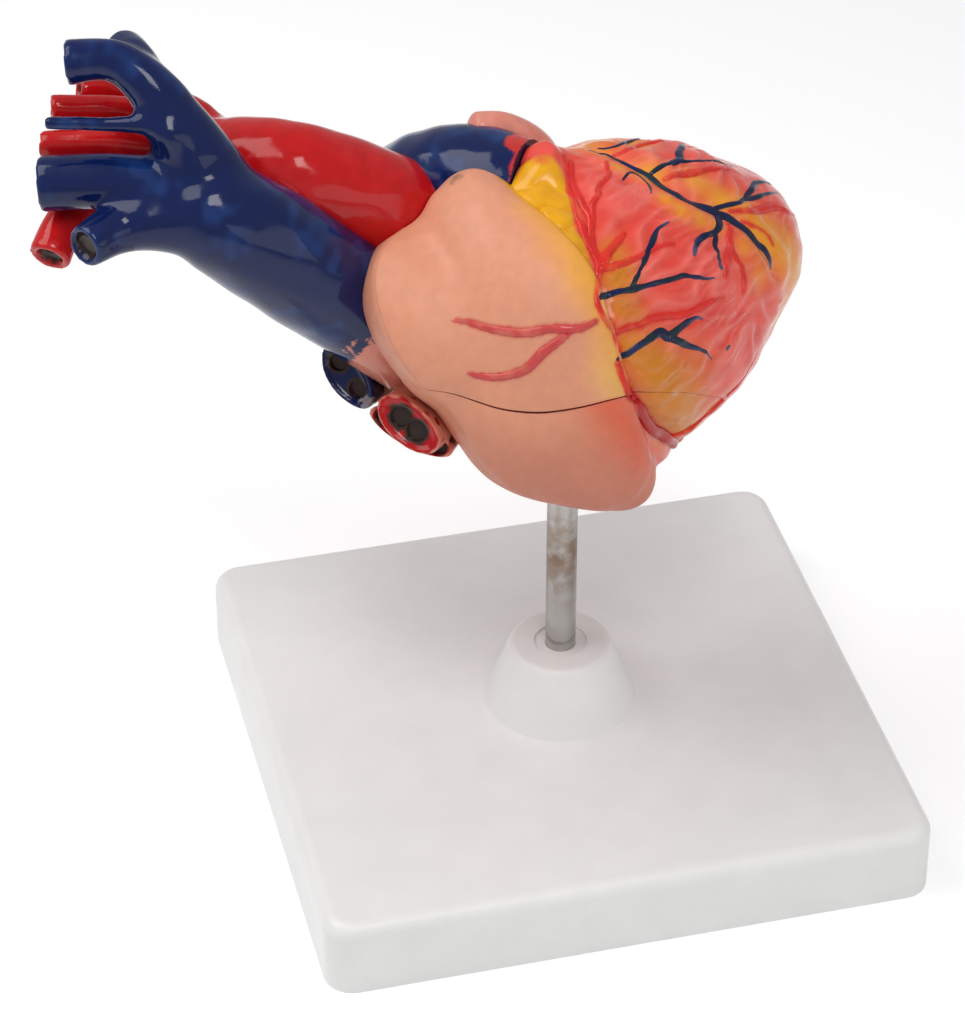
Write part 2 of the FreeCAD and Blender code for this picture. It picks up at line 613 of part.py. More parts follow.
# ---- magnets in the parting faces ----
def on_parting(x, y):
    """Point of the parting plane above x, y."""
    p = vec(LID_POINT)
    z = p.z - (LID_N.x * (x - p.x) + LID_N.y * (y - p.y)) / LID_N.z
    return VEC(x, y, z)


side = MAGNET_BOSS_AT[0]
length = MAGNET_BOSS_AT[1]
depth = (vec(LID_POINT) - VC).dot(LID_N)
boss_at = vent(side, (depth - side * B.dot(LID_N) - length * N.dot(LID_N)) / T.dot(LID_N), length)
spots = [on_parting(*p) for p in MAGNETS_NEAR] + [boss_at]
post = Part.makeCylinder(BOSS_PAD_R, 14.0, boss_at - LID_N * (14.0 + LID_GAP), LID_N)
nodes["rear_wall"] = nodes["rear_wall"].fuse(post.common(ventricles))
pad = Part.makeCylinder(BOSS_PAD_R, 7.0, boss_at, LID_N)
nodes["front_shell"] = nodes["front_shell"].fuse(pad.common(ventricles))
rear_magnets = []
front_magnets = []
for p in spots:
    low = Part.makeCylinder(MAGNET_R, MAGNET_H, p - LID_N * (MAGNET_H + LID_GAP), LID_N)
    high = Part.makeCylinder(MAGNET_R, MAGNET_H, p, LID_N)
    nodes["rear_wall"] = nodes["rear_wall"].cut(low)
    nodes["front_shell"] = nodes["front_shell"].cut(high)
    rear_magnets.append(low)
    front_magnets.append(high)
nodes["rear_magnets"] = Part.makeCompound(rear_magnets)
nodes["front_magnets"] = Part.makeCompound(front_magnets)

# ---- rod socket in the casting ----
top = ROD_TOP_Z + SOCKET_CAP
socket = Part.makeCylinder(SOCKET_R, top - SOCKET_BOTTOM_Z, VEC(0, 0, SOCKET_BOTTOM_Z))
blind = Part.makeCylinder(ROD_R + ROD_CLEAR, ROD_TOP_Z - SOCKET_BOTTOM_Z + 1.0, VEC(0, 0, SOCKET_BOTTOM_Z - 1.0))
entry = Part.makeCylinder(SOCKET_R, 40.0, VEC(0, 0, top - 40.0))
nodes["rear_wall"] = nodes["rear_wall"].cut(entry)
nodes["rod_socket"] = socket.cut(blind)

# ---- rod ----
rod = Part.makeCylinder(ROD_R, ROD_TOP_Z - ROD_BOTTOM_Z, VEC(0, 0, ROD_BOTTOM_Z))
rod = rod.makeChamfer(0.5, [e for e in rod.Edges if isinstance(e.Curve, Part.Circle)])
rod = rod.cut(Part.makeCylinder(ROD_BORE_R, ROD_TOP_Z, VEC(0, 0, 0)))

# ---- stand ----
half_x = SLAB_X / 2
half_y = SLAB_Y / 2
slab = Part.makeBox(SLAB_X, SLAB_Y, SLAB_H, VEC(-half_x, -half_y, 0))
upright = [e for e in slab.Edges if abs(e.tangentAt(e.FirstParameter).z) > 0.9]
slab = slab.makeFillet(SLAB_CORNER, upright)
upper = [e for e in slab.Edges if e.BoundBox.ZMin > SLAB_H - 0.01]
slab = slab.makeFillet(SLAB_EDGE, upper)
room = Part.makeBox(SLAB_X - 2 * SLAB_WALL, SLAB_Y - 2 * SLAB_WALL, SLAB_H - SLAB_WALL,
                    VEC(-half_x + SLAB_WALL, -half_y + SLAB_WALL, 0))
room_edges = [e for e in room.Edges if abs(e.tangentAt(e.FirstParameter).z) > 0.9]
room = room.makeFillet(SLAB_CORNER - SLAB_WALL, room_edges)
slab = slab.cut(room)
ribs = []
for turn in (45.0, 135.0):
    rib = Part.makeBox(150.0, RIB_T, SLAB_H - SLAB_WALL - 1.0, VEC(-75.0, -RIB_T / 2, 1.0))
    rib.rotate(VEC(0, 0, 0), VEC(0, 0, 1), turn)
    ribs.append(rib.common(room))
boss = Part.makeCylinder(BOSS_R, SLAB_H - SLAB_WALL + 0.5, VEC(0, 0, 0))
screws = []
posts = []
for turn in (0.0, 180.0):
    cx = SCREW_PITCH_R * math.cos(math.radians(turn))
    cy = SCREW_PITCH_R * math.sin(math.radians(turn))
    head = Part.makeCylinder(SCREW_HEAD_R, 2.0, VEC(cx, cy, SLAB_H - SLAB_WALL - 2.0))
    slot = Part.makeBox(4.4, 0.8, 0.8, VEC(cx - 2.2, cy - 0.4, SLAB_H - SLAB_WALL - 2.0))
    cross = Part.makeBox(0.8, 4.4, 0.8, VEC(cx - 0.4, cy - 2.2, SLAB_H - SLAB_WALL - 2.0))
    shank = Part.makeCylinder(SCREW_R, 10.0, VEC(cx, cy, SLAB_H - SLAB_WALL - 0.5))
    screws.append(head.cut(slot).cut(cross).fuse(shank))
slab = fuse_all([slab, boss] + ribs)
for turn in (0.0, 180.0):
    cx = SCREW_PITCH_R * math.cos(math.radians(turn))
    cy = SCREW_PITCH_R * math.sin(math.radians(turn))
    slab = slab.cut(Part.makeCylinder(SCREW_HEAD_R + 0.6, SLAB_H - SLAB_WALL, VEC(cx, cy, 0)))
    slab = slab.cut(Part.makeCylinder(SCREW_R, SLAB_H + 1.0, VEC(cx, cy, 0)))
slab = slab.cut(Part.makeCylinder(ROD_R + ROD_CLEAR, SLAB_H, VEC(0, 0, ROD_BOTTOM_Z)))
nodes["base_slab"] = slab
nodes["collar_screws"] = Part.makeCompound(screws)
collar = Part.makeCone(COLLAR_BASE_R, COLLAR_TOP_R, COLLAR_TOP_Z - SLAB_H, VEC(0, 0, SLAB_H))
collar = collar.makeFillet(2.0, [e for e in collar.Edges if e.BoundBox.ZMin > COLLAR_TOP_Z - 0.01])
step = Part.makeCylinder(COLLAR_STEP_R, 1.0, VEC(0, 0, COLLAR_TOP_Z - 0.6))
collar = collar.cut(step).cut(Part.makeCylinder(ROD_R + ROD_CLEAR, 60.0, VEC(0, 0, 0)))
for screw in screws:
    collar = collar.cut(screw)
nodes["stand_collar"] = collar
nodes["support_rod"] = rod

# ---- turn the heart to the row frame and write every piece ----
STAND_NODES = ("base_slab", "collar_screws", "stand_collar", "support_rod")
for name, shape in nodes.items():
    if name not in STAND_NODES:
        shape.rotate(VEC(0, 0, 0), VEC(0, 0, 1), HEART_TURN)
    print(name, shape.isValid(), [round(x.Volume, 1) for x in shape.Solids])
    shape.exportStep("parts/" + name + ".step")
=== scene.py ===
# %% [markdown]
# # A hand-painted heart model on a white stand
# The real object is a life-size anatomy model: a hollow vinyl casting of the heart, dipped and
# brushed with glossy paint, whose front wall lifts off on magnets, on a steel rod in a white slab.
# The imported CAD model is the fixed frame. Everything made here is placed in that frame, in metres.

# %% Load the frame
import math
import bmesh
import bpy
import numpy as np
from mathutils import Matrix, Vector


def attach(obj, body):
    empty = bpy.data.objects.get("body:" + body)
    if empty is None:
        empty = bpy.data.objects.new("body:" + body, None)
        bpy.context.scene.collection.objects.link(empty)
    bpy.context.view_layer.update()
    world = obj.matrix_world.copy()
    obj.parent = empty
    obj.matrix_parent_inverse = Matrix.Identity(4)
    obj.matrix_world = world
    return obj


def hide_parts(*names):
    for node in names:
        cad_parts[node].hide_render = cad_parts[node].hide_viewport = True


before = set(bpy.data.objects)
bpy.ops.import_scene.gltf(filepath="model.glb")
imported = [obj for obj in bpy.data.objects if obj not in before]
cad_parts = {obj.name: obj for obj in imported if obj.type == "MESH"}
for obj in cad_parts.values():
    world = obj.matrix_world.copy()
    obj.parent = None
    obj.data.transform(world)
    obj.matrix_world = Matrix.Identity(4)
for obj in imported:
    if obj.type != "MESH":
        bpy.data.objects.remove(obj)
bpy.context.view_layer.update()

# %% [markdown]
# The heart was drawn in its own axes, in millimetres, and then turned a little about the rod.
# Working in those axes keeps the numbers the same as the casting's own, and one matrix brings
# every finished point to the frame. LONG runs to the tip of the ventricles, with TOP and SIDE
# square to it. FACE looks out of the front of the right atrium, with UPRIGHT and ACROSS in it.

# %% The heart's own axes
HEART_TURN = math.radians(-14.0)
TURN = np.array([[math.cos(HEART_TURN), -math.sin(HEART_TURN), 0.0],
                 [math.sin(HEART_TURN), math.cos(HEART_TURN), 0.0],
                 [0.0, 0.0, 1.0]])


def unit(v):
    """v divided by its length, for one vector or an array of them."""
    v = np.asarray(v, float)
    return v / np.linalg.norm(v, axis=-1, keepdims=True)


def to_frame(p):
    """Heart millimetres to frame metres: turn about the rod, then divide by 1000."""
    return (np.asarray(p, float) @ TURN.T) * 0.001


def to_heart(p):
    """Frame metres back to heart millimetres."""
    return (np.asarray(p, float) * 1000.0) @ TURN


LONG = unit((0.797, 0.593, 0.124))
TOP = unit((-0.48, 0.492, 0.73))
TOP = unit(TOP - LONG * (TOP @ LONG))
SIDE = np.cross(LONG, TOP)
FACE = unit((0.0, -0.826, 0.564))
UPRIGHT = unit(TOP - FACE * (TOP @ FACE))
ACROSS = np.cross(UPRIGHT, FACE)
VENTRICLE_AT = np.array((-5.5, 0.0, 128.0))
ATRIUM_AT = np.array((-12.0, -2.0, 130.0))
LEFT_ATRIUM_AT = np.array((-24.0, 15.0, 115.0))
LIFT = unit((0.06, 0.12, 0.99))
print("long axis of the ventricles:", LONG.round(3))

# %% [markdown]
# Skins here are grids of points: rings that follow each other, closed by one point at each end.
# Joining neighbours with quads, and the ends with fans of triangles, gives a watertight mesh with
# no doubled seam. The sign of its volume tells whether the faces already point outwards.

# %% Closed skins from rings of points


def closed_skin(rings, first, last):
    """Points, quads and triangles of rings (rows, columns, xyz) closed by two end points."""
    rows, cols = rings.shape[:2]
    points = np.vstack([first[None], rings.reshape(-1, 3), last[None]])
    here = 1 + np.arange(rows * cols).reshape(rows, cols)
    beside = np.roll(here, -1, axis=1)
    quads = np.stack([here[:-1], here[1:], beside[1:], beside[:-1]], -1).reshape(-1, 4)
    start = np.stack([np.zeros(cols, int), here[0], beside[0]], -1)
    end = np.stack([np.full(cols, rows * cols + 1), beside[-1], here[-1]], -1)
    tris = np.vstack([start, end])
    halves = np.vstack([quads[:, :3], quads[:, [0, 2, 3]], tris])
    a, b, c = (points[halves[:, k]] for k in range(3))
    if np.einsum("ij,ij->", a, np.cross(b, c)) < 0:
        quads, tris = quads[:, ::-1], tris[:, ::-1]
    return points, quads, tris


def together(skins):
    """Several skins as one, their face numbers shifted to follow each other."""
    shift = np.cumsum([0] + [len(s[0]) for s in skins[:-1]])
    return (np.vstack([s[0] for s in skins]),
            np.vstack([s[1] + k for s, k in zip(skins, shift)]),
            np.vstack([s[2] + k for s, k in zip(skins, shift)]))


def to_object(name, skin):
    """A Blender mesh object from a skin in heart millimetres."""
    points, quads, tris = skin
    mesh = bpy.data.meshes.new(name)
    mesh.vertices.add(len(points))
    mesh.vertices.foreach_set("co", to_frame(points).astype(np.float32).ravel())
    corners = np.concatenate([quads.ravel(), tris.ravel()]).astype(np.int32)
    starts = np.concatenate([np.arange(len(quads)) * 4, len(quads) * 4 + np.arange(len(tris)) * 3])
    mesh.loops.add(len(corners))
    mesh.loops.foreach_set("vertex_index", corners)
    mesh.polygons.add(len(starts))
    mesh.polygons.foreach_set("loop_start", starts.astype(np.int32))
    mesh.update(calc_edges=True)
    mesh.polygons.foreach_set("use_smooth", np.ones(len(starts), bool))
    piece = bpy.data.objects.new(name, mesh)
    bpy.context.scene.collection.objects.link(piece)
    return piece


def mesh_points(piece):
    """All vertex places of a piece, in heart millimetres."""
    flat = np.empty(len(piece.data.vertices) * 3, np.float32)
    piece.data.vertices.foreach_get("co", flat)
    return to_heart(flat.reshape(-1, 3))


def set_points(piece, points):
    """Moves a piece's vertices to new places, in heart millimetres."""
    piece.data.vertices.foreach_set("co", to_frame(points).astype(np.float32).ravel())
    piece.data.update()


print("skins and mesh helpers ready")

# %% [markdown]
# Hand work is never quite even. A sum of a few waves that run in unrelated directions makes a
# gentle unevenness that is the same at every run. It bends outlines, moulded relief and the edges
# of painted areas. Steps, bells and smooth curves through marks are made by the same few helpers.

# %% Unevenness and curves
WAVES = 14


def uneven(p, size, seed):
    """Sum of WAVES sine waves about size long, in unrelated directions, from about -1 to 1."""
    rng = np.random.default_rng(seed)
    ways = unit(rng.normal(size=(WAVES, 3))) * (2 * np.pi / size)
    ways = ways * rng.uniform(0.6, 1.5, (WAVES, 1))
    phase = rng.uniform(0, 2 * np.pi, WAVES)
    return np.sin(np.asarray(p) @ ways.T + phase).sum(-1) / 4.2


def ease(x, low, high):
    """0 below low, 1 above high, and a smooth S between them."""
    t = np.clip((np.asarray(x, float) - low) / (high - low), 0, 1)
    return t * t * (3 - 2 * t)


def bump(x, width):
    """Bell curve exp(-(x / width)^2)."""
    return np.exp(-(np.asarray(x) / width) ** 2)


def curve(a, b, c, d, s):
    """Catmull-Rom curve from b to c as s goes from 0 to 1, with a before and d after them."""
    return 0.5 * (2 * b + (c - a) * s + (2 * a - 5 * b + 4 * c - d) * s ** 2
                  + (3 * b - a - 3 * c + d) * s ** 3)


print("unevenness at three points:", uneven(10 * np.eye(3), 20, 1).round(2))

# %% [markdown]
# The casting is three rounded bodies grown together: the ventricles (an egg with a different
# radius on each side), the right atrium (a pillow with a free outline and an ear), and the left
# atrium (a ball). Seen from a point inside all of them, each is a distance as a function of the
# direction, so the joined skin is simply the largest of the three, eased where they meet.

# %% Distance to the skin in any direction
VENTRICLE_R = (36.5, 36.0, 39.0, 38.0)  # along SIDE, against it, along TOP, against it
VENTRICLE_TIP, VENTRICLE_BASE = 71.0, 27.0
ATRIUM_OUTLINE = np.array([22.0, 23.0, 24.5, 27.0, 31.5, 40.0, 38.5, 35.0, 37.5, 37.0, 33.0, 29.5,
                           27.5, 26.0, 27.5, 31.5, 36.0, 41.0, 47.5, 45.5, 31.8, 25.5, 22.5, 21.5])
ATRIUM_FRONT, ATRIUM_BACK, ATRIUM_POWER = 28.0, 30.0, 2.3
LEFT_ATRIUM_R = 23.5
FARTHEST, HALVINGS = 110.0, 26


def outline_at(angle):
    """The atrium's outline radius at an angle, as a smooth closed curve through the table."""
    m = len(ATRIUM_OUTLINE)
    x = (angle / (2 * np.pi) * m) % m
    i = np.floor(x).astype(int)
    return curve(*(ATRIUM_OUTLINE[(i + k) % m] for k in (-1, 0, 1, 2)), x - i)


def atrium_reach(way):
    """Pillow: ((side / outline)^p + (depth / thickness)^p)^(-1/p), p larger at its left margin."""
    s, u, f = way @ ACROSS, way @ UPRIGHT, way @ FACE
    flat = np.hypot(s, u) / outline_at(np.arctan2(u, s))
    left = ease(-s, 0.1, 0.7) * ease(u, -0.3, 0.3)
    deep = np.abs(f) / np.where(f > 0, ATRIUM_FRONT + 3.5 * left, ATRIUM_BACK)
    power = ATRIUM_POWER + 2.4 * left * (f > 0)
    return (flat ** power + deep ** power) ** (-1 / power)


def egg(p):
    """Egg measure: 1 on the ventricles' skin, less inside. Each side has its own radius."""
    v = p - VENTRICLE_AT
    b, t, n = v @ SIDE, v @ TOP, v @ LONG
    right, left, high, low = VENTRICLE_R
    return np.sqrt((b / np.where(b > 0, right, left)) ** 2 + (t / np.where(t > 0, high, low)) ** 2
                   + (n / np.where(n > 0, VENTRICLE_TIP, VENTRICLE_BASE)) ** 2)


def ventricle_reach(way):
    """Distance at which the egg measure reaches 1, by halving the interval."""
    low, high = np.zeros(len(way)), np.full(len(way), FARTHEST)
    for _ in range(HALVINGS):
        mid = 0.5 * (low + high)
        inside = egg(ATRIUM_AT + way * mid[:, None]) < 1
        low, high = np.where(inside, mid, low), np.where(inside, high, mid)
    return 0.5 * (low + high)


def left_atrium_reach(way):
    """Far crossing of a ball: b + sqrt(b^2 - c), or 0 where the line misses it."""
    to = LEFT_ATRIUM_AT - ATRIUM_AT
    b = way @ to
    room = b * b - (to @ to - LEFT_ATRIUM_R ** 2)
    return np.where((room > 0) & (b > 0), b + np.sqrt(np.maximum(room, 0)), 0.0)


def eased_max(a, b, width):
    """The larger of a and b, with a fillet about width wide where they cross."""
    near = np.maximum(width - np.abs(a - b), 0) / width
    return np.maximum(a, b) + near ** 2 * width / 4


print("reach of the ventricles along their axis:", ventricle_reach(LONG[None]).round(1), "mm")

# %% [markdown]
# Vessels and borders that lie on the ventricles are given as an angle round the long axis and a
# length along it, which is how a mould maker would mark them on the egg. A smooth curve through
# the marks becomes a line in space, and the distance to that line shapes and colours what is near.

# %% Lines on the ventricles
COARSE_STEP = 2.5


def on_egg(angle, length):
    """Point of the egg at an angle in degrees round the long axis and a length along it."""
    a = np.radians(np.asarray(angle, float))
    n = np.asarray(length, float)
    r = 1 / np.sqrt((np.cos(a) / np.where(np.cos(a) > 0, *VENTRICLE_R[:2])) ** 2
                    + (np.sin(a) / np.where(np.sin(a) > 0, *VENTRICLE_R[2:])) ** 2)
    r = r * np.sqrt(1 - (n / np.where(n > 0, VENTRICLE_TIP, VENTRICLE_BASE)) ** 2)
    return (VENTRICLE_AT + (r * np.cos(a))[..., None] * SIDE + (r * np.sin(a))[..., None] * TOP
            + n[..., None] * LONG)


def smooth_rows(rows, step):
    """Rows read along a Catmull-Rom curve at nearly equal steps of their first three columns."""
    rows = np.asarray(rows, float)
    whole = np.vstack([2 * rows[0] - rows[1], rows, 2 * rows[-1] - rows[-2]])
    s = (np.arange(24) / 24.0)[None, :, None]
    fine = curve(*(whole[k:len(whole) - 3 + k, None] for k in range(4)), s)
    fine = np.vstack([fine.reshape(-1, rows.shape[1]), rows[-1]])
    run = np.concatenate([[0], np.cumsum(np.linalg.norm(np.diff(fine[:, :3], axis=0), axis=1))])
    want = np.linspace(0, run[-1], max(3, int(round(run[-1] / step)) + 1))
    return np.stack([np.interp(want, run, fine[:, k]) for k in range(rows.shape[1])], -1)


def egg_line(marks):
    """Line in space through marks (angle, length) on the egg."""
    marks = np.asarray(marks, float)
    return smooth_rows(on_egg(marks[:, 0], marks[:, 1]), COARSE_STEP)


def line_distance(p, line):
    """Least distance from each point to a line of short straight runs."""
    best = np.full(len(p), 1e9)
    for a, b in zip(line[:-1], line[1:]):
        run = b - a
        off = p - a - np.clip((p - a) @ run / max(run @ run, 1e-9), 0, 1)[:, None] * run
        best = np.minimum(best, np.einsum("ij,ij->i", off, off))
    return np.sqrt(best)


GROOVE = [(60, 15), (42, 11), (29, 6), (20, 5), (2, -1), (-8, -3), (-25, -3), (-42, 0), (-60, 6),
          (-76, 13), (-92, 16), (-108, 16)]
GREAT_VEIN = [(61, 28), (47, 31), (37, 32.5), (26, 33.5), (18, 37.5), (10.5, 42), (2.5, 45.5),
              (-10.5, 48), (-27.5, 50)]
groove_line = egg_line(GROOVE)
great_line = egg_line(GREAT_VEIN)
groove_length = np.linalg.norm(np.diff(groove_line, axis=0), axis=1).sum()
print("coronary groove:", round(float(groove_length)), "mm long")

# %% [markdown]
# The mould's relief is added along each direction: fat lobes behind the coronary groove, fine
# muscle strands on the right ventricle, a furrow with padded banks for the great vein, and slight
# hollows in the atrium. Each is a bell or a wave of the distance to its line. Three flat faces
# part the casting: LID slants across the heart, RIDGE stands behind the atrium's edge, and ROOT
# faces the great vessels.

# %% Relief of the casting
LID_AT, LID_UP = np.array((0.0, -31.0, 132.0)), unit((0.04, 0.42, 0.906))
RIDGE_AT, RIDGE_WAY = np.array((-38.0, -20.0, 146.0)), unit((0.72, -0.36, 0.59))
ROOT_AT, ROOT_WAY = np.array((-8.0, 16.0, 164.0)), unit((0.925, -0.36, 0.11))
groove_marks = np.array(GROOVE[::-1], float)
VIEW_RIGHT, VIEW_UP = np.array((1.0, 0.0, 0.0)), np.array((0.0, 0.6, 0.8))


def egg_place(p):
    """Angle in degrees round the long axis, and length along it."""
    v = p - VENTRICLE_AT
    return np.degrees(np.arctan2(v @ TOP, v @ SIDE)), v @ LONG


def past_groove(p):
    """Length beyond the coronary groove, towards the tip, in mm."""
    angle, n = egg_place(p)
    return n - np.interp(angle, groove_marks[:, 0], groove_marks[:, 1])


def strands(p):
    """Fine slanting muscle strands: a wave across them, bent by unevenness, in patches."""
    across = p @ (0.82 * VIEW_UP - 0.57 * VIEW_RIGHT)
    wave = np.abs(np.sin(np.pi * across / 2.3 + 1.6 * uneven(p, 11, 5)))
    broad = np.abs(np.sin(np.pi * across / 5.2 + 1.9 * uneven(p, 17, 6)))
    return 0.34 * (1 - wave) ** 1.5 * ease(uneven(p, 16, 7), -0.35, 0.35) + 0.5 * (1 - broad) ** 1.3


def ventricle_relief(p):
    """Height of the relief on the ventricles, in mm."""
    angle, n = egg_place(p)
    beyond = past_groove(p)
    groove = line_distance(p, groove_line)
    vein = line_distance(p, great_line)
    right = ease(angle, -75, -45) * (1 - ease(angle, 62, 80))
    band = right * ease(angle, -2, 12) * (1 - ease(beyond, -2.5, 0.5))
    lobes = np.abs(np.sin(np.pi * (angle + 0.9 * n) / 11.5 + 0.5 * uneven(p, 9, 3)))
    lower = right * (1 - ease(angle, -6, 6)) * ease(beyond, 0.5, 3.5) * (1 - ease(beyond, 8, 14))
    rise = 0.55 * uneven(p, 22, 1) + 0.18 * uneven(p, 8, 2)
    rise = rise - (0.5 + 0.8 * (1 - ease(angle, -5, 15))) * bump(groove, 2.6)
    rise = rise + band * (1.0 * lobes ** 0.7 - 0.3)
    rise = rise + 0.9 * lower * (0.75 + 0.25 * uneven(p, 7, 4))
    rise = rise - 0.7 * bump(vein, 1.9) + 0.75 * bump(vein - 4.4, 2.4)
    free = ease(beyond, 2, 6) * ease(vein, 3, 7) * (1 - ease(n, 48, 62))
    return rise + strands(p) * free * right


def atrium_relief(p):
    """Height of the relief on the right atrium, in mm."""
    v = p - ATRIUM_AT
    s, u, f = v @ ACROSS, v @ UPRIGHT, v @ FACE
    front = ease(f, 2, 12)
    ridge = (p - RIDGE_AT) @ RIDGE_WAY
    rise = 0.35 * uneven(p, 26, 11) + 0.08 * uneven(p, 9, 12)
    rise = rise + 0.7 * bump(ridge, 2.4) * front
    rise = rise - 0.7 * bump(np.hypot(s + 4, u + 15), 7) * front
    return rise - 0.5 * bump(np.hypot(s - 10, (u + 12) * 1.4), 8) * front


print("relief at the atrium's front:", atrium_relief((ATRIUM_AT + 30 * FACE)[None]).round(2), "mm")

# %% [markdown]
# The front parts from the rear along the slanted face, which wanders a little near the front, as
# a saw does. Broad fullness put on by hand and the lap of the atrium over the ventricles finish
# the skin.

# %% Seam, fullness and the finished skin
LAP_HEIGHT = 3.0
CROSSING_EASE, LAP_EASE, LEFT_EASE = 1.2, 10.0, 5.0
SWELLS = np.array([(-6, 14, 166, 5.0, 7.5), (-5, 8, 167, 2.4, 5), (38, -1, 114, 1.4, 14),
                   (54, 25, 134, 1.0, 14), (37, 38, 156, -1.7, 10), (5, 30, 162, 1.0, 10),
                   (22, -18, 106, 1.7, 9), (16, -25, 100, 2.0, 7), (7, -27, 96, -1.7, 6),
                   (-32, 12, 159, -1.2, 6), (-20, 20, 162, -0.9, 5), (-18, -22, 104, 0.9, 9)])
SEAM_BEND = np.array([(-60, 0), (-30, 0.8), (-25, -0.3), (-18, -2.2), (-9, -2.9), (-2, -1.7),
                      (5, 0.2), (12, 2.1), (19, 2.2), (27, 1.0), (31, -0.3), (36, -3.2),
                      (45, -4.5), (70, -4.5)], float)


def lid_height(x, y):
    """Height of the flat slanted parting plane above x, y."""
    return LID_AT[2] - (LID_UP[0] * (x - LID_AT[0]) + LID_UP[1] * (y - LID_AT[1])) / LID_UP[2]


def seam_height(x, y):
    """Height of the parting surface: the slanted plane, bent near the front as the saw ran."""
    bend = sum(np.interp(x + shift, *SEAM_BEND.T) for shift in (-4, -2, 0, 2, 4)) / 5
    return lid_height(x, y) + bend * (1 - ease(y, -8, 16)) / LID_UP[2]


def above_seam(p):
    """Distance above the parting surface, in mm, negative below it."""
    return (p[..., 2] - seam_height(p[..., 0], p[..., 1])) * LID_UP[2]


def swell(p):
    """Broad hand-made fullness: a sum of bells, each with a place, a height and a width."""
    apart = np.linalg.norm(p[:, None, :] - SWELLS[None, :, :3], axis=-1)
    return (SWELLS[:, 3] * bump(apart, SWELLS[:, 4])).sum(-1)


def apron(p):
    """1 where the right atrium laps over the ventricles, and the height of that lap.

    With k the distance from the atrium's middle over its outline, the height is sqrt(1 - k^8).
    """
    v = p - ATRIUM_AT
    s, u, f = v @ ACROSS, v @ UPRIGHT, v @ FACE
    k = np.hypot(s, u) / outline_at(np.arctan2(u, s))
    front = ease(f, 4, 14)
    height = front * ease(s, -40, 16) * np.sqrt(1 - np.minimum(k, 1) ** 8)
    return front * (1 - ease(k, 0.985, 1.01)), height


def skin_at(way):
    """Points of the painted skin in unit directions from the atrium's centre."""
    atrium, ventricle, left = atrium_reach(way), ventricle_reach(way), left_atrium_reach(way)
    _, under_lap = apron(ATRIUM_AT + way * np.maximum(atrium, ventricle)[:, None])
    reach = eased_max(atrium, ventricle, CROSSING_EASE + LAP_EASE * under_lap)
    reach = eased_max(reach, left, LEFT_EASE)
    p = ATRIUM_AT + way * reach[:, None]
    lap, height = apron(p)
    wet = ease(ventricle - np.maximum(atrium, left), -0.6, 1.2) * (1 - lap)
    rise = wet * ventricle_relief(p) + (1 - wet) * atrium_relief(p) + swell(p) + LAP_HEIGHT * height
    rise = rise - 0.22 * bump(above_seam(p) + 0.15, 0.7) * (1 - 0.85 * ease(p[:, 0], 14, 24))
    return p + way * rise[:, None]


print("tip of the skin:", skin_at(LONG[None]).round(1), "mm")

# %% [markdown]
# The skin is sampled on rings round the ventricles' long axis. The rings are spaced by equal
# lengths along the skin rather than equal angles, so that the far tip gets as many points as the
# near sides, and painted edges stay equally crisp all over.

# %% The whole casting as one closed skin
RINGS, COLUMNS = ((322, 440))


def ways_at(tilt, turn):
    """Unit directions at a tilt from the long axis and a turn round it."""
    return (np.cos(tilt)[..., None] * LONG + (np.sin(tilt) * np.cos(turn))[..., None] * SIDE
            + (np.sin(tilt) * np.sin(turn))[..., None] * TOP)


def even_tilts(count):
    """Tilts that divide the average outline of the skin into equal lengths."""
    tilt = np.linspace(0.0, np.pi, 721)
    total = np.zeros(720)
    for turn in np.linspace(0, 2 * np.pi, 8, endpoint=False):
        way = ways_at(tilt, np.full(721, turn))
        line = ATRIUM_AT + way * np.maximum(atrium_reach(way), ventricle_reach(way))[:, None]
        total += np.linalg.norm(np.diff(line, axis=0), axis=1)
    run = np.concatenate([[0], np.cumsum(total)])
    return np.interp(np.linspace(0, run[-1], count + 2), run, tilt)[1:-1]


tilt, turn = np.meshgrid(even_tilts(RINGS), np.linspace(0, 2 * np.pi, COLUMNS, endpoint=False),
                         indexing="ij")
skin_rings = skin_at(ways_at(tilt, turn).reshape(-1, 3)).reshape(RINGS, COLUMNS, 3)
skin_ends = skin_at(np.array([LONG, -LONG]))
casting_skin = closed_skin(skin_rings, skin_ends[0], skin_ends[1])
print("casting skin:", len(casting_skin[0]), "points")

# %% [markdown]
# The two halves of the real casting are cut from one master. Here the same thing is done with
# solid tools: a corner-shaped block for the removable front, blocks for the walls, and rounded
# bodies for the chambers. Blender's Manifold solver cuts watertight meshes fast and cleanly.

# %% Tools for cutting
FAR = 150.0


def block(corner, one, two, three):
    """Slanted box from a corner and three edge vectors."""
    steps = np.array([(i, j, k) for i in (0, 1) for j in (0, 1) for k in (0, 1)], float)
    points = np.asarray(corner) + steps @ np.array([one, two, three])
    quads = np.array([(0, 1, 3, 2), (4, 6, 7, 5), (0, 4, 5, 1), (2, 3, 7, 6), (0, 2, 6, 4),
                      (1, 5, 7, 3)])
    if np.dot(np.cross(one, two), three) < 0:
        quads = quads[:, ::-1]
    return points, quads, np.empty((0, 3), int)


def corner_space(at_one, out_one, at_two, out_two):
    """Block that fills the space in front of two planes, its edge on the line where they cross."""
    edge = unit(np.cross(out_one, out_two))
    rows = np.array([out_one, out_two, edge])
    corner = np.linalg.solve(rows, [out_one @ at_one, out_two @ at_two, edge @ ATRIUM_AT])
    in_one = unit(np.cross(edge, out_one))
    in_two = unit(np.cross(edge, out_two))
    in_one = in_one * np.sign(in_one @ out_two)
    in_two = in_two * np.sign(in_two @ out_one)
    return block(corner - edge * FAR, in_one * FAR, in_two * FAR, edge * 2 * FAR)


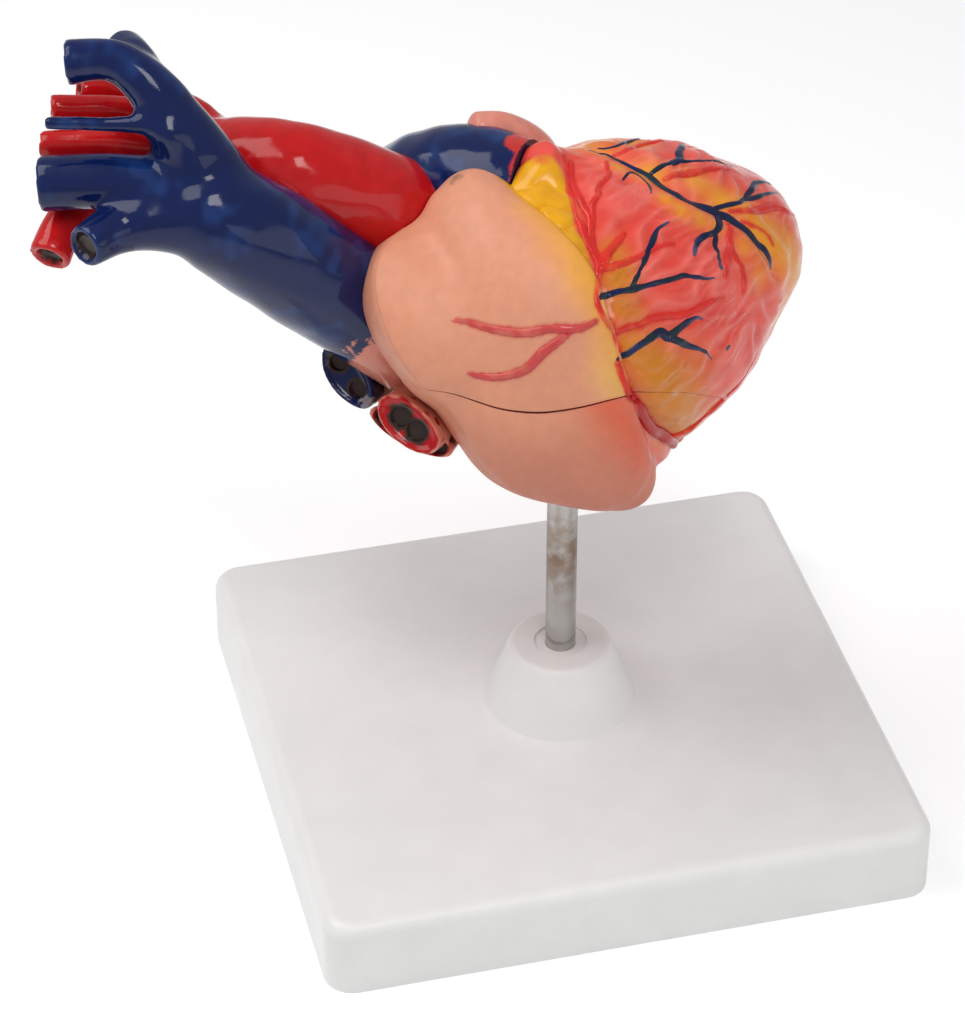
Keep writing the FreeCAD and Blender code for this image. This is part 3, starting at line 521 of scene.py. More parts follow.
def space_beyond(at, out, size=FAR):
    """Block that fills the space in front of one plane."""
    side = unit(np.cross(out, (0.31, 0.22, 0.93)))
    up = np.cross(out, side)
    return block(at - (side + up) * size, side * 2 * size, up * 2 * size, out * size)


def ball_angles(rows, cols):
    """Angle from the pole of every row, without the poles, and angle round it of every column."""
    return np.meshgrid(np.linspace(0, np.pi, rows + 2)[1:-1],
                       np.linspace(0, 2 * np.pi, cols, endpoint=False), indexing="ij")


def rounded(centre, axes, radii, rows=28, cols=56):
    """Closed egg: centre + axes * radii * (sin cos, sin sin, cos)."""
    a, b = ball_angles(rows, cols)
    q = np.stack([np.sin(a) * np.cos(b), np.sin(a) * np.sin(b), np.cos(a)], -1) * radii
    ends = np.array([[0, 0, radii[2]], [0, 0, -radii[2]]], float)
    axes = np.array(axes)
    return closed_skin(centre + q @ axes, centre + ends[0] @ axes, centre + ends[1] @ axes)


def bar(start, end, radius, end_radius=None, cols=32):
    """Round bar between two points, as rings across its length."""
    start, end = np.asarray(start, float), np.asarray(end, float)
    way = unit(end - start)
    side = unit(np.cross(way, (0.3, 0.5, 0.81)))
    up = np.cross(way, side)
    a = np.linspace(0, 2 * np.pi, cols, endpoint=False)[:, None]
    circle = np.cos(a) * side + np.sin(a) * up
    far = radius if end_radius is None else end_radius
    return closed_skin(np.stack([start + circle * radius, end + circle * far]), start, end)


print("blocks reach", FAR, "mm")

# %% [markdown]
# A cut is a Boolean step that is worked out at once, so that every piece stays a plain mesh.

# %% Cuts


def cut(piece, how, skin):
    """Joins, cuts or keeps the common part of a piece and a tool, and leaves a plain mesh."""
    tool = skin if isinstance(skin, bpy.types.Object) else to_object("tool", skin)
    step = piece.modifiers.new("cut", "BOOLEAN")
    step.operation, step.object, step.solver = how, tool, "MANIFOLD"
    finish_modifiers(piece)
    if tool is not skin:
        bpy.data.objects.remove(tool)
    return piece


def finish_modifiers(piece):
    """Replaces a piece's mesh with what its modifiers make of it."""
    graph = bpy.context.evaluated_depsgraph_get()
    made = bpy.data.meshes.new_from_object(piece.evaluated_get(graph))
    old = piece.data
    piece.modifiers.clear()
    made.materials.clear()
    piece.data = made
    bpy.data.meshes.remove(old)


print("cutting helpers ready")

# %% [markdown]
# The chambers follow the anatomy: two ventricles with a wall between them, two atria, and round
# mouths for the valves. Their walls carry low ridges, because the inside of a ventricle is a
# mesh of muscle beams.

# %% Chambers
EGG_AXES = (SIDE, TOP, LONG)
PILLOW_AXES = (ACROSS, UPRIGHT, FACE)
TRICUSPID, MITRAL = (11, -16), (-17, -6)  # side and top of the two valve holes


def in_egg(side, top, length):
    """Point from distances along the egg's axes."""
    return VENTRICLE_AT + side * SIDE + top * TOP + length * LONG


def beamed(skin, centre, height, size, seed):
    """Pushes a chamber's wall in and out along crossing ridges."""
    points, quads, tris = skin
    way = unit(points - centre)
    ridges = 1 - np.abs(uneven(points, size, seed))
    return points + way * (height * (ridges - 0.5))[:, None], quads, tris


fine = ((72, 144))
left_at, right_at = in_egg(-14, -5, 22), in_egg(10, 0, 18)
left_room = beamed(rounded(left_at, EGG_AXES, (14, 20, 33), *fine), left_at, 1.0, 9, 21)
right_room = beamed(rounded(right_at, EGG_AXES, (21, 32, 26), *fine), right_at, 1.0, 9, 22)
left_wall = rounded(left_at, EGG_AXES, (20, 26, 39))
atrium_room = rounded(ATRIUM_AT - 4 * ACROSS - 12 * UPRIGHT + 4.5 * FACE, PILLOW_AXES,
                      (17.5, 20.5, 16.5), *fine)
left_atrium_room = rounded(np.array((-25.0, 19.0, 114.0)), np.eye(3), (15, 15, 15), *fine)
above_valves = space_beyond(in_egg(0, 0, 5), LONG)
below_valves = space_beyond(in_egg(0, 0, 0), -LONG)
tricuspid_hole = bar(in_egg(*TRICUSPID, -6), in_egg(*TRICUSPID, 10), 8.5)
mitral_hole = bar(in_egg(*MITRAL, -10), in_egg(*MITRAL, 10), 8.0)


def rooms():
    """The six hollows of the casting, each a tool object."""
    made = [cut(to_object(name, room), "INTERSECT", side) for name, room, side in (
        ("left_room", left_room, above_valves), ("right_room", right_room, above_valves),
        ("atrium_room", atrium_room, below_valves),
        ("left_atrium_room", left_atrium_room, below_valves))]
    cut(made[1], "DIFFERENCE", left_wall)
    made += [to_object("tricuspid_hole", tricuspid_hole), to_object("mitral_hole", mitral_hole)]
    print("rooms:", [len(m.data.polygons) for m in made], "faces")
    return made


# %% [markdown]
# The parting surface has a long slanted face across the heart, a side face behind the atrium's
# edge, and a step round the root of the great vessels, which stay behind. The front wall is what
# lies in that corner. The rear casting is the rest, a third of a millimetre further off.

# %% Front wall and rear casting
SEAM_GAP = 0.3
RIDGE_SHARE = 0.2
STEP_DEPTH = 8.0


def space_above_seam(gap):
    """Closed grid: the parting surface below, lowered by gap, flat ends, and a flat top."""
    x, y = np.meshgrid(*(np.concatenate([[-160, -90], np.linspace(-62, 62, count), [90, 160]])
                         for count in (125, 63)))
    middle = 0.7 * ease(x, -32, -20) * (1 - ease(x, 12, 22))
    edge = 0.9 * bump(x + 6, 15) * (1 - ease(y, -20, -8))
    low = np.stack([x, y, seam_height(x, y) - gap * (0.3 + middle + edge)], -1)
    high = np.stack([x, y, np.full_like(x, 260.0)], -1)[:, ::-1]
    rings = np.concatenate([low, high], axis=1)
    return closed_skin(rings, rings[0].mean(0), rings[-1].mean(0))


def front_space(name, gap):
    """Space above the seam and right of the ridge, less the corner that stays behind."""
    wedge = cut(to_object(name, space_above_seam(gap)), "INTERSECT",
                space_beyond(RIDGE_AT - RIDGE_WAY * gap * RIDGE_SHARE, RIDGE_WAY, 200.0))
    kept = corner_space(ROOT_AT - ROOT_WAY * gap, -ROOT_WAY,
                        ATRIUM_AT + FACE * (STEP_DEPTH - gap), -FACE)
    return cut(wedge, "DIFFERENCE", kept)


front_wall = to_object("front_wall_casting", casting_skin)
rear_casting = to_object("rear_heart_casting", casting_skin)
space, wider = front_space("front_space", 0.0), front_space("front_space_wide", SEAM_GAP)
cut(front_wall, "INTERSECT", space)
cut(rear_casting, "DIFFERENCE", wider)
for room in rooms():
    cut(rear_casting, "DIFFERENCE", room)
    if room.name == "atrium_room":
        cut(front_wall, "DIFFERENCE", room)
    bpy.data.objects.remove(room)
for tool in (space, wider):
    bpy.data.objects.remove(tool)
print("points of the front wall and the rear casting:",
      len(front_wall.data.vertices), len(rear_casting.data.vertices))

# %% [markdown]
# The two great valves sit in round recesses of the root face, where the front wall ends against
# the great vessels.

# %% Places of the great valves
SEAT_DEPTH = 6.0


def root_face(p):
    """The point of the root face of the rear casting nearest to p."""
    return p - ROOT_WAY * ((p - ROOT_AT) @ ROOT_WAY + SEAM_GAP)


aortic_seat = root_face(np.array((-8.0, 9.0, 134.0)))
pulmonary_seat = root_face(np.array((-8.0, 15.0, 158.0)))
print("valve seats:", aortic_seat.round(1), pulmonary_seat.round(1))

# %% [markdown]
# The great vessels are tubes carried along smooth paths. Each path gives a centre and a radius;
# a ring is drawn square to it, and the side of each ring is passed on from the ring before, so the
# tube never twists. A free end turns over a rounded lip into a shallow mouth.

# %% Tubes along paths


def carried_side(way, first):
    """A side direction for every ring, each the last one laid square to the new way."""
    out, side = np.empty_like(way), np.asarray(first, float)
    for i, w in enumerate(way):
        side = unit(side - w * (side @ w))
        out[i] = side
    return out


LIP = [(-1.4, 1.0, 1.0), (-0.7, 1.0, 1.0), (-0.25, 0.985, 0.985), (-0.05, 0.95, 0.95)]
DISH = [(-0.1, 0.88, 0.86), (-0.9, 0.8, 0.76), (-1.4, 0.6, 0.6)]
LIP_LENGTH, MOUTH_DEPTH, TUBE_STEP = 1.6, 2.2, 1.4


def end_profile(mouth, radius):
    """Rows (length, share of either radius) that go over the lip and into a mouth or a dish."""
    if mouth is None:
        return np.array(LIP + DISH)
    hole = mouth / radius
    steps = ((0.0, 0.5 * (0.95 + hole)), (-0.05, hole + 0.04), (-0.4, hole),
             (-MOUTH_DEPTH + 0.5, hole * 0.97), (-MOUTH_DEPTH, hole * 0.8))
    return np.array(LIP + [(length, share, share) for length, share in steps])


def tube(rows, mouth=None, step=TUBE_STEP, around=40, long_way=None):
    """Closed tube along rows (x, y, z, radius[, second radius]).

    mouth is the bore's radius at the free end. A flattened tube has its first radius along
    long_way and ends in a dish.
    """
    line = smooth_rows(rows, step)
    centre, wide, flat = line[:, :3], line[:, 3], line[:, -1]
    way = unit(np.gradient(centre, axis=0))
    if long_way is None:
        side = carried_side(way, (0.37, 0.61, 0.7))
    else:
        side = unit(long_way - way * (way @ np.asarray(long_way))[:, None])
    if mouth is not None or long_way is not None:
        profile = end_profile(mouth, wide[-1])
        plain = np.flatnonzero(np.linalg.norm(centre[:-1] - centre[-1], axis=1) > LIP_LENGTH)
        at = np.concatenate([plain, np.full(len(profile), len(centre) - 1)])
        add = np.vstack([np.tile((0.0, 1.0, 1.0), (len(plain), 1)), profile])
        centre = centre[at] + way[at] * add[:, :1]
        wide, flat = wide[at] * add[:, 1], flat[at] * add[:, 2]
        way, side = way[at], side[at]
    up = np.cross(way, side)
    a = np.linspace(0, 2 * np.pi, around, endpoint=False)[None, :, None]
    rings = (centre[:, None] + np.cos(a) * (side * wide[:, None])[:, None]
             + np.sin(a) * (up * flat[:, None])[:, None])
    return closed_skin(rings, centre[0], centre[-1])


print("rings of a mouth:", len(end_profile(4.0, 6.0)), "of a dish:", len(end_profile(None, 6.0)))

# %% [markdown]
# Where real vessels branch, the mould has soft fillets. Overlapping tubes are merged by remeshing
# them into one fine skin, and then points near a join are drawn towards their neighbours many
# times, which melts the crease into a fillet, while the rest is only evened out.

# %% Helpers for castings
PULL = 0.5


def edge_ends(piece):
    """The first and the second point number of every edge."""
    pairs = np.empty(len(piece.data.edges) * 2, np.int32)
    piece.data.edges.foreach_get("vertices", pairs)
    return pairs.reshape(-1, 2).T


def shade_smooth(piece):
    """Marks all faces as smooth."""
    piece.data.polygons.foreach_set("use_smooth", np.ones(len(piece.data.polygons), bool))


def relax(piece, rounds, weight=1.0):
    """Each point moves by PULL * weight towards the mean of its neighbours, rounds times."""
    a, b = edge_ends(piece)
    a, b = np.concatenate([a, b]), np.concatenate([b, a])
    points = mesh_points(piece)
    degree = np.maximum(np.bincount(a, minlength=len(points)), 1)[:, None]
    strength = np.broadcast_to(np.asarray(weight, float), (len(points),))[:, None] * PULL
    for _ in range(rounds):
        mean = np.stack([np.bincount(a, points[b, k], len(points)) for k in range(3)], -1) / degree
        points = points + (mean - points) * strength
    set_points(piece, points)


def tube_gap(p, line):
    """Distance from points to the side of a tube of straight runs, negative inside."""
    best = np.full(len(p), 1e9)
    for a, b in zip(line[:-1], line[1:]):
        run = b[:3] - a[:3]
        t = np.clip((p - a[:3]) @ run / (run @ run), 0, 1)
        off = np.linalg.norm(p - a[:3] - t[:, None] * run, axis=1)
        best = np.minimum(best, off - (a[3] + (b[3] - a[3]) * t))
    return best


print("points move", PULL, "of the way to the mean of their neighbours")

# %% [markdown]
# Remeshing may leave a few stray points beside a casting, which are dropped. Each casting then gets
# a slight unevenness, as poured pieces have.

# %% Castings of joined tubes
VOXEL, FINE_VOXEL = 0.62, 0.45
EVEN_ROUNDS, MELT_ROUNDS, MELT_REACH = 7, 26, 3.2
CAST_UNEVEN = 0.16


def drop_specks(piece):
    """Keeps the largest joined body. Every point takes the lowest number among its neighbours."""
    a, b = edge_ends(piece)
    label, last = np.arange(len(piece.data.vertices)), None
    while last is None or (label != last).any():
        last, low = label, np.minimum(label[a], label[b])
        label = label.copy()
        np.minimum.at(label, a, low)
        np.minimum.at(label, b, low)
        label = label[label]
    stray = np.flatnonzero(label != np.bincount(label).argmax())
    if len(stray):
        form = bmesh.new()
        form.from_mesh(piece.data)
        form.verts.ensure_lookup_table()
        bmesh.ops.delete(form, geom=[form.verts[i] for i in stray], context="VERTS")
        form.to_mesh(piece.data)
        form.free()
    return len(stray)


def cast(name, skins, paths, voxel=VOXEL):
    """One casting from overlapping skins: remesh, even out, and melt the joins of its paths."""
    piece = to_object(name, together(skins))
    step = piece.modifiers.new("one_skin", "REMESH")
    step.mode, step.voxel_size, step.use_smooth_shade = "VOXEL", voxel * 0.001, True
    finish_modifiers(piece)
    specks = drop_specks(piece)
    relax(piece, EVEN_ROUNDS)
    if len(paths) > 1:
        points = mesh_points(piece)
        gaps = np.abs([tube_gap(points, smooth_rows(rows, COARSE_STEP)) for rows in paths])
        second = np.sort(gaps, axis=0)[1]
        relax(piece, MELT_ROUNDS, 1 - ease(second, MELT_REACH * 0.45, MELT_REACH))
    points = mesh_points(piece)
    outward = unit(points - points.mean(0))
    set_points(piece, points + outward * (CAST_UNEVEN * uneven(points, 11, 31))[:, None])
    shade_smooth(piece)
    print(name, len(piece.data.polygons), "faces;", specks, "stray points dropped")
    return piece


print("joins melt within", MELT_REACH, "mm")

# %% [markdown]
# The great veins: the upper vena cava rises from the right atrium and forks like a tree. Its
# branches were cut short by the maker and end in shallow round mouths, whose radii stand beside
# their paths.

# %% Great veins
VENA_CAVA = [(-29, 2, 120, 12), (-33, 2, 123, 12.5), (-46, -1.2, 136.5, 13.2),
             (-59.3, -6.2, 150.4, 13.8), (-71.7, -10.8, 163.3, 13.4), (-82, -11.5, 170.7, 12.2),
             (-89, -10.6, 173.9, 8.8), (-103, -10, 176.9, 6.5), (-119, -9.8, 176.2, 6.4)]
RIGHT_ARM_VEIN = [(-86.6, -13.9, 169.8, 8.6), (-94, -15.6, 170.6, 7.4),
                  (-101.4, -18.8, 169.9, 5.8), (-108.1, -26.2, 169.8, 5)]
LEFT_HEAD_VEIN = [(-74.3, -9.1, 166.5, 8.5), (-81.6, -7.4, 177.1, 9.4), (-87.8, -5.6, 188.8, 7.4),
                  (-93.9, -2.8, 197.9, 5.8), (-102, 0.2, 202.3, 4.8), (-112.3, 0, 201.9, 5.2)]
LEFT_ARM_VEIN = [(-94.2, 0.1, 196.2, 5.6), (-97.6, 5.6, 198.5, 5.2), (-100.5, 13.6, 197.5, 4.8)]
THROAT_VEIN = [(-86.0, -8.6, 186.6, 4.0), (-88.6, -10.4, 189.6, 4.2), (-93.8, -9.7, 191.5, 2.6),
               (-104, -8.9, 191.2, 1.7), (-116.7, -9.2, 191.8, 1.6)]
VEIN_TREE = ((VENA_CAVA, 4.4), (RIGHT_ARM_VEIN, 3.4), (LEFT_HEAD_VEIN, 3.6), (LEFT_ARM_VEIN, 3.2))
vein_skins = [tube(*branch) for branch in VEIN_TREE] + [tube(THROAT_VEIN, step=1.0, around=20)]
great_veins = cast("great_veins", vein_skins, [rows for rows, _ in VEIN_TREE] + [THROAT_VEIN])
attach(great_veins, "heart")
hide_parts("superior_vena_cava", "left_brachiocephalic_vein", "left_subclavian_vein",
            "right_subclavian_vein", "thyroid_vein")

# %% [markdown]
# The aorta arches over and runs down behind, with the arteries of the head and arms on its top.

# %% Aorta and its branches
AORTA = [(-22, 10.4, 132, 11), (-29, 13, 143.5, 13), (-38, 14, 151.6, 13.6),
         (-50, 11, 159.7, 13.4), (-61, 9, 166, 12.6), (-71, 12, 167, 11.6), (-78, 18, 164, 11),
         (-82, 29, 157, 10.5), (-81, 42, 142, 10), (-73, 51, 122, 9.6), (-65, 54, 106, 9.2)]
SHARED_ARTERY = [(-76, 11, 168, 7), (-82, 8, 171, 6), (-88, 5, 174, 5.2)]
RIGHT_NECK_ARTERY = [(-84, 7, 172, 5), (-91, 4, 176, 4.4), (-103, 4, 178, 3.8),
                     (-120, 4, 178, 3.3)]
RIGHT_ARM_ARTERY = [(-84, 9, 170, 4.6), (-96, 7, 171, 4.4), (-106, 2, 169, 4.6),
                    (-113.8, -6.6, 164.3, 4.7), (-117.3, -15.6, 159.9, 4.9)]
LEFT_NECK_ARTERY = [(-80, 21, 168, 5), (-88, 17, 175, 3.8), (-100, 14, 181, 3.2),
                    (-118, 12, 183, 3)]
LEFT_ARM_ARTERY = [(-80, 32, 160, 5.4), (-88, 31, 170, 4.4), (-101, 28, 177, 4),
                   (-113, 25, 180, 3.6)]
ARTERY_TREE = ((AORTA, 7.4), (SHARED_ARTERY, None), (RIGHT_NECK_ARTERY, 2.4),
               (RIGHT_ARM_ARTERY, 3.0), (LEFT_NECK_ARTERY, 1.8), (LEFT_ARM_ARTERY, 2.4))
great_arteries = cast("aorta_and_branches", [tube(*branch) for branch in ARTERY_TREE],
                      [rows for rows, _ in ARTERY_TREE])
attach(great_arteries, "heart")
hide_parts("aorta", "brachiocephalic_artery", "right_carotid_artery",
            "right_subclavian_artery", "left_carotid_artery", "left_subclavian_artery")

# %% [markdown]
# The pulmonary trunk leaves the right ventricle and bends back over the heart. It is sawn flat
# where the front wall meets it. The flattened stub of its right branch shows below the vena cava.

# %% Pulmonary trunk and its right branch
TRUNK = [(-1, 8, 154.0, 11.6), (-6, 11, 155.3, 12.3), (-13, 15, 158.6, 13.3), (-23, 21, 157, 14),
         (-33, 28, 152, 12.8), (-40, 41, 143, 10), (-44, 54, 134, 8.5)]
RIGHT_LUNG_ARTERY = [(-32, 28, 147, 9, 9), (-40, 28, 136, 8.5, 8.5), (-46, 14, 124, 8.5, 6.5),
                     (-48.4, 2.5, 117.6, 8.6, 5.2), (-51.1, -6.2, 120.7, 8.8, 4.7)]
ARTERY_STUB_LONG = np.array((0.58, -0.46, -0.67))
TRUNK_MOUTH = 6.7
behind_root = space_beyond(ROOT_AT - ROOT_WAY * SEAM_GAP, -ROOT_WAY)
trunk = cast("trunk_casting", [tube(TRUNK, TRUNK_MOUTH)], [TRUNK])
cut(trunk, "INTERSECT", behind_root)
cut(trunk, "DIFFERENCE",
    bar(pulmonary_seat - ROOT_WAY * SEAT_DEPTH, pulmonary_seat + ROOT_WAY, 8.5))
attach(trunk, "heart")
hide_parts("pulmonary_trunk")


def pits(piece, rows, long_way, apart, radius):
    """Sinks the two shallow round pits of a flattened stub, side by side along its oval.

    Gives the stub's end row, its way, the way of its oval, and the places and radius of the pits.
    """
    end, before = np.array(rows[-1][:3], float), np.array(rows[-2][:3], float)
    way = unit(end - before)
    along = unit(long_way - way * (long_way @ way))
    places = [end + along * k for k in (-apart, apart)]
    for place in places:
        cut(piece, "DIFFERENCE",
            bar(place - way * 2.5, place + way * 3.0, radius * 0.8, radius * 1.2))
    return np.array(rows[-1], float), way, along, places, radius


lung_artery = cast("right_lung_artery", [tube(RIGHT_LUNG_ARTERY, long_way=ARTERY_STUB_LONG)],
                   [RIGHT_LUNG_ARTERY], FINE_VOXEL)
artery_stub = pits(lung_artery, RIGHT_LUNG_ARTERY, ARTERY_STUB_LONG, 3.9, 2.5)
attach(lung_artery, "heart")
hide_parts("right_pulmonary_artery")

# %% [markdown]
# The veins from the lungs, the lower vena cava and the left auricle grow out of the pink casting.

# %% Stubs of the left atrium, lower vena cava and left auricle


def from_ball(rows):
    """Rows (way x, y, z, length beyond the ball's skin, radii) to places."""
    rows = np.array(rows, float)
    places = LEFT_ATRIUM_AT + unit(rows[:, :3]) * (LEFT_ATRIUM_R + rows[:, 3:4])
    return np.hstack([places, rows[:, 4:]])


RIGHT_LUNG_VEINS = [(-24, 10, 114, 8, 7), (-31, -3, 113, 8.4, 6), (-34, -14, 115, 8.7, 5.2),
                    (-36.7, -23, 119, 8.9, 4.9)]
BACK_LUNG_VEINS = [(-24, 14, 110, 8, 7), (-31, 0, 107, 9, 5.4), (-33.8, -8, 108.6, 10.3, 4.3),
                   (-36.2, -16.2, 112.0, 11.0, 3.7)]
VEIN_STUB_LONG, BACK_STUB_LONG = np.array((0.77, -0.36, -0.53)), np.array((0.9, -0.26, -0.34))
UPPER_LUNG_VEIN = from_ball([(-4, 9, 1, -13.6, 6), (-10, 21, 2, -0.1, 6), (-16, 30, 3, 10.6, 6)])
LOWER_LUNG_VEIN = from_ball([(4, 9, -7, -11.4, 6), (2, 21, -10, -0.1, 6), (0, 31, -12, 9.7, 6)])
LOWER_CAVA = [(2, 18, 104, 8.5), (5, 24, 92, 8.5), (8, 30, 81, 8.5)]
LEFT_AURICLE = [(-22, 26, 170, 3.2), (-15, 28, 166, 5.5), (-9, 31, 158, 7.5), (-8, 33, 148, 9),
                (-12, 32, 138, 11), (-16, 28, 128, 12)]
PINK_WEB = [(-26, 10, 118, 8), (-38, 4, 119, 8), (-44, -0.5, 118.6, 6.6)]
PINK_FOOT = [(-26, 8, 112, 8), (-37, 2, 112.5, 7), (-42.5, -1.5, 114, 5)]
PINK_SKINS = [tube(RIGHT_LUNG_VEINS, long_way=VEIN_STUB_LONG), tube(PINK_WEB), tube(PINK_FOOT),
              tube(BACK_LUNG_VEINS, long_way=BACK_STUB_LONG)]
lung_veins = cast("right_lung_veins", PINK_SKINS, [RIGHT_LUNG_VEINS, PINK_WEB, PINK_FOOT],
                  FINE_VOXEL)
vein_stub = pits(lung_veins, RIGHT_LUNG_VEINS, VEIN_STUB_LONG, 2.5, 2.8)
back_stub = pits(lung_veins, BACK_LUNG_VEINS, BACK_STUB_LONG, 7.4, 2.4)
LUNG_MOUTH, CAVA_MOUTH = 4.0, 6.2
left_lung_veins = cast("left_lung_veins",
                       [tube(rows, LUNG_MOUTH) for rows in (UPPER_LUNG_VEIN, LOWER_LUNG_VEIN)],
                       [UPPER_LUNG_VEIN, LOWER_LUNG_VEIN])
lower_cava = cast("lower_vena_cava", [tube(LOWER_CAVA, CAVA_MOUTH)], [LOWER_CAVA])
auricle = cast("auricle_casting", [tube(LEFT_AURICLE)], [LEFT_AURICLE])
cut(auricle, "INTERSECT", behind_root)
stubs = {"right_pulmonary_veins": lung_veins, "left_pulmonary_veins": left_lung_veins,
         "inferior_vena_cava": lower_cava, "left_auricle": auricle}
for node, piece in stubs.items():
    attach(piece, "heart")
    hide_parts(node)

# %% [markdown]
# The removable front is a shell. Inside it is the wall of the right ventricle, which follows the
# outside at the wall's thickness, and hollows that let it come off past the great vessels. The
# hollow egg uses the same four radii as the outside, each less the wall.

# %% Hollow of the front wall
FRONT_WALL_THICK = 5.0
VESSEL_GAP, LIFT_STEP = 0.6, 5.0


def egg_room(shrink, tip, base, rows, cols):
    """Closed egg with its own radius on each side: centre + r (sin cos, sin sin) + length cos."""
    a, b = ball_angles(rows, cols)
    right, left, high, low = (r - shrink for r in VENTRICLE_R)
    side = np.sin(a) * np.cos(b) * np.where(np.cos(b) > 0, right, left)
    top = np.sin(a) * np.sin(b) * np.where(np.sin(b) > 0, high, low)
    length = np.cos(a) * np.where(a < np.pi / 2, tip, base)
    points = VENTRICLE_AT + side[..., None] * SIDE + top[..., None] * TOP + length[..., None] * LONG
    return closed_skin(points, in_egg(0, 0, tip), in_egg(0, 0, -base))


hollow = beamed(egg_room(FRONT_WALL_THICK, 66.0, 22.0, *fine), in_egg(0, 0, 20), 0.8, 8, 23)
front_room = cut(to_object("front_room", hollow), "INTERSECT",
                 space_beyond(in_egg(0, 0, 5.3), LONG))
cut(front_wall, "DIFFERENCE", front_room)
bpy.data.objects.remove(front_room)
for centre, radius in ((in_egg(*TRICUSPID, 0), 9.4), (in_egg(*MITRAL, 0), 8.9)):
    cut(front_wall, "DIFFERENCE", bar(centre - LONG * 10, centre + LONG * 10, radius))


def grown(rows, more):
    """Tube rows with a larger radius."""
    rows = np.array(rows, float)
    rows[:, 3:] += more
    return rows


for rows in (AORTA[:5], TRUNK, LEFT_AURICLE):
    room = cut(to_object("room", tube(grown(rows, VESSEL_GAP))), "INTERSECT",
               space_beyond(ROOT_AT, -ROOT_WAY))
    for _ in range(3):
        cut(front_wall, "DIFFERENCE", room)
        room.data.transform(Matrix.Translation(to_frame(-LIFT * LIFT_STEP)))
    bpy.data.objects.remove(room)
print("front wall hollowed:", len(front_wall.data.polygons), "faces")

# %% [markdown]
# Three pairs of disc magnets hold the front on, a steel socket takes the rod, and the two great
# valves sit in round recesses of the root face. Their seats are bored here, at the places of the
# CAD parts that fill them.

# %% Seats for the magnets, the socket and the valves
MAGNET_R, MAGNET_DEPTH, PAD_R, SEAT_OPEN = 2.0, 3.0, 3.8, 5.0


def on_seam(x, y):
    """Point of the slanted parting face above x, y."""
    return np.array([x, y, lid_height(x, y)])


def seat_magnets():
    """Adds the pads of the third pair and bores all six seats."""
    depth = (LID_AT - VENTRICLE_AT) @ LID_UP
    pad = in_egg(7.0, (depth - 7.0 * SIDE @ LID_UP - 30.0 * LONG @ LID_UP) / (TOP @ LID_UP), 30.0)
    post = cut(to_object("post", bar(pad - LID_UP * SEAM_GAP, pad - LID_UP * 14.0, PAD_R)),
               "INTERSECT", egg_room(2.0, 68.0, 24.0, 24, 48))
    cut(rear_casting, "UNION", post)
    bpy.data.objects.remove(post)
    cut(front_wall, "UNION", bar(pad, pad + LID_UP * 7.0 - TOP * 1.5, PAD_R))
    for seat in (on_seam(-4.0, -29.0), on_seam(12.0, -26.0), pad):
        cut(rear_casting, "DIFFERENCE", bar(seat - LID_UP * (MAGNET_DEPTH + SEAM_GAP),
                                            seat + LID_UP * SEAT_OPEN, MAGNET_R))
        cut(front_wall, "DIFFERENCE", bar(seat - LID_UP * SEAT_OPEN,
                                          seat + LID_UP * MAGNET_DEPTH, MAGNET_R))
    return pad


pad_at = seat_magnets()
cut(rear_casting, "DIFFERENCE", bar((0, 0, 60.0), (0, 0, 101.5), 6.0))
cut(rear_casting, "DIFFERENCE",
    bar(aortic_seat - ROOT_WAY * SEAT_DEPTH, aortic_seat + ROOT_WAY, 7.0))
print("seats bored; third pad at", pad_at.round(1))

# %% [markdown]
# The heart's own vessels are painted strokes on low moulded beads. Each is a row of marks with a
# half width, drawn through with a smooth curve and dropped on the skin. A bead is a half-round
# profile carried along that line, its foot sunk in the casting, so that paint and light both run
# over it as they do over the real one.

# %% Strokes on the skin
BEAD_AROUND, BEAD_SUNK, STROKE_STEP = 14, 0.45, 0.7


def to_skin(p):
    """Point of the painted skin on the line from the atrium's centre through p."""
    return skin_at(unit(p - ATRIUM_AT))


def skin_normal(p):
    """Outward normal of the skin, from two short steps along it."""
    way = unit(p - ATRIUM_AT)
    one = unit(np.cross(way, (0.2, 0.3, 0.93)))
    two = np.cross(way, one)
    at, a, b = skin_at(way), skin_at(unit(way + one * 0.02)), skin_at(unit(way + two * 0.02))
    normal = unit(np.cross(a - at, b - at))
    return normal * np.sign(np.einsum("ij,ij->i", normal, way))[:, None]


def stroke(marks):
    """Rows (x, y, z, half width) on the skin.

    Marks are (angle, length, w) on the egg or (side, up, front, w) from the atrium's centre.
    """
    marks = np.array(marks, float)
    if marks.shape[1] == 3:
        places = on_egg(marks[:, 0], marks[:, 1])
    else:
        places = ATRIUM_AT + marks[:, :3] @ np.array(PILLOW_AXES)
    rows = smooth_rows(np.hstack([places, marks[:, -1:]]), STROKE_STEP)
    rows[:, :3] = to_skin(rows[:, :3])
    rows[:, 3] += 0.16 * np.minimum(rows[:, 3], 0.6) * uneven(rows[:, :3], 4.5, 64)
    return rows


def bead(rows, high):
    """Closed bead: to_skin(centre + side w cos a) + normal * high sin a, its under side sunk."""
    centre, wide = rows[:, :3], rows[:, 3]
    way = unit(np.gradient(centre, axis=0))
    normal = skin_normal(centre)
    side = unit(np.cross(normal, way))
    a = np.linspace(0, 2 * np.pi, BEAD_AROUND, endpoint=False)
    over = np.where(np.sin(a) > -0.01, 1.0, 0.75) * np.cos(a)
    foot = centre[:, None] + side[:, None] * (wide[:, None] * over)[..., None]
    top = high * np.minimum(wide / 0.8, 1.2)[:, None] * np.sin(a) - 0.04
    lift = np.where(np.sin(a) > -0.01, top, -BEAD_SUNK)
    rings = to_skin(foot.reshape(-1, 3)).reshape(foot.shape) + normal[:, None] * lift[..., None]
    return closed_skin(rings, centre[0] - normal[0] * 0.1, centre[-1] - normal[-1] * 0.1)


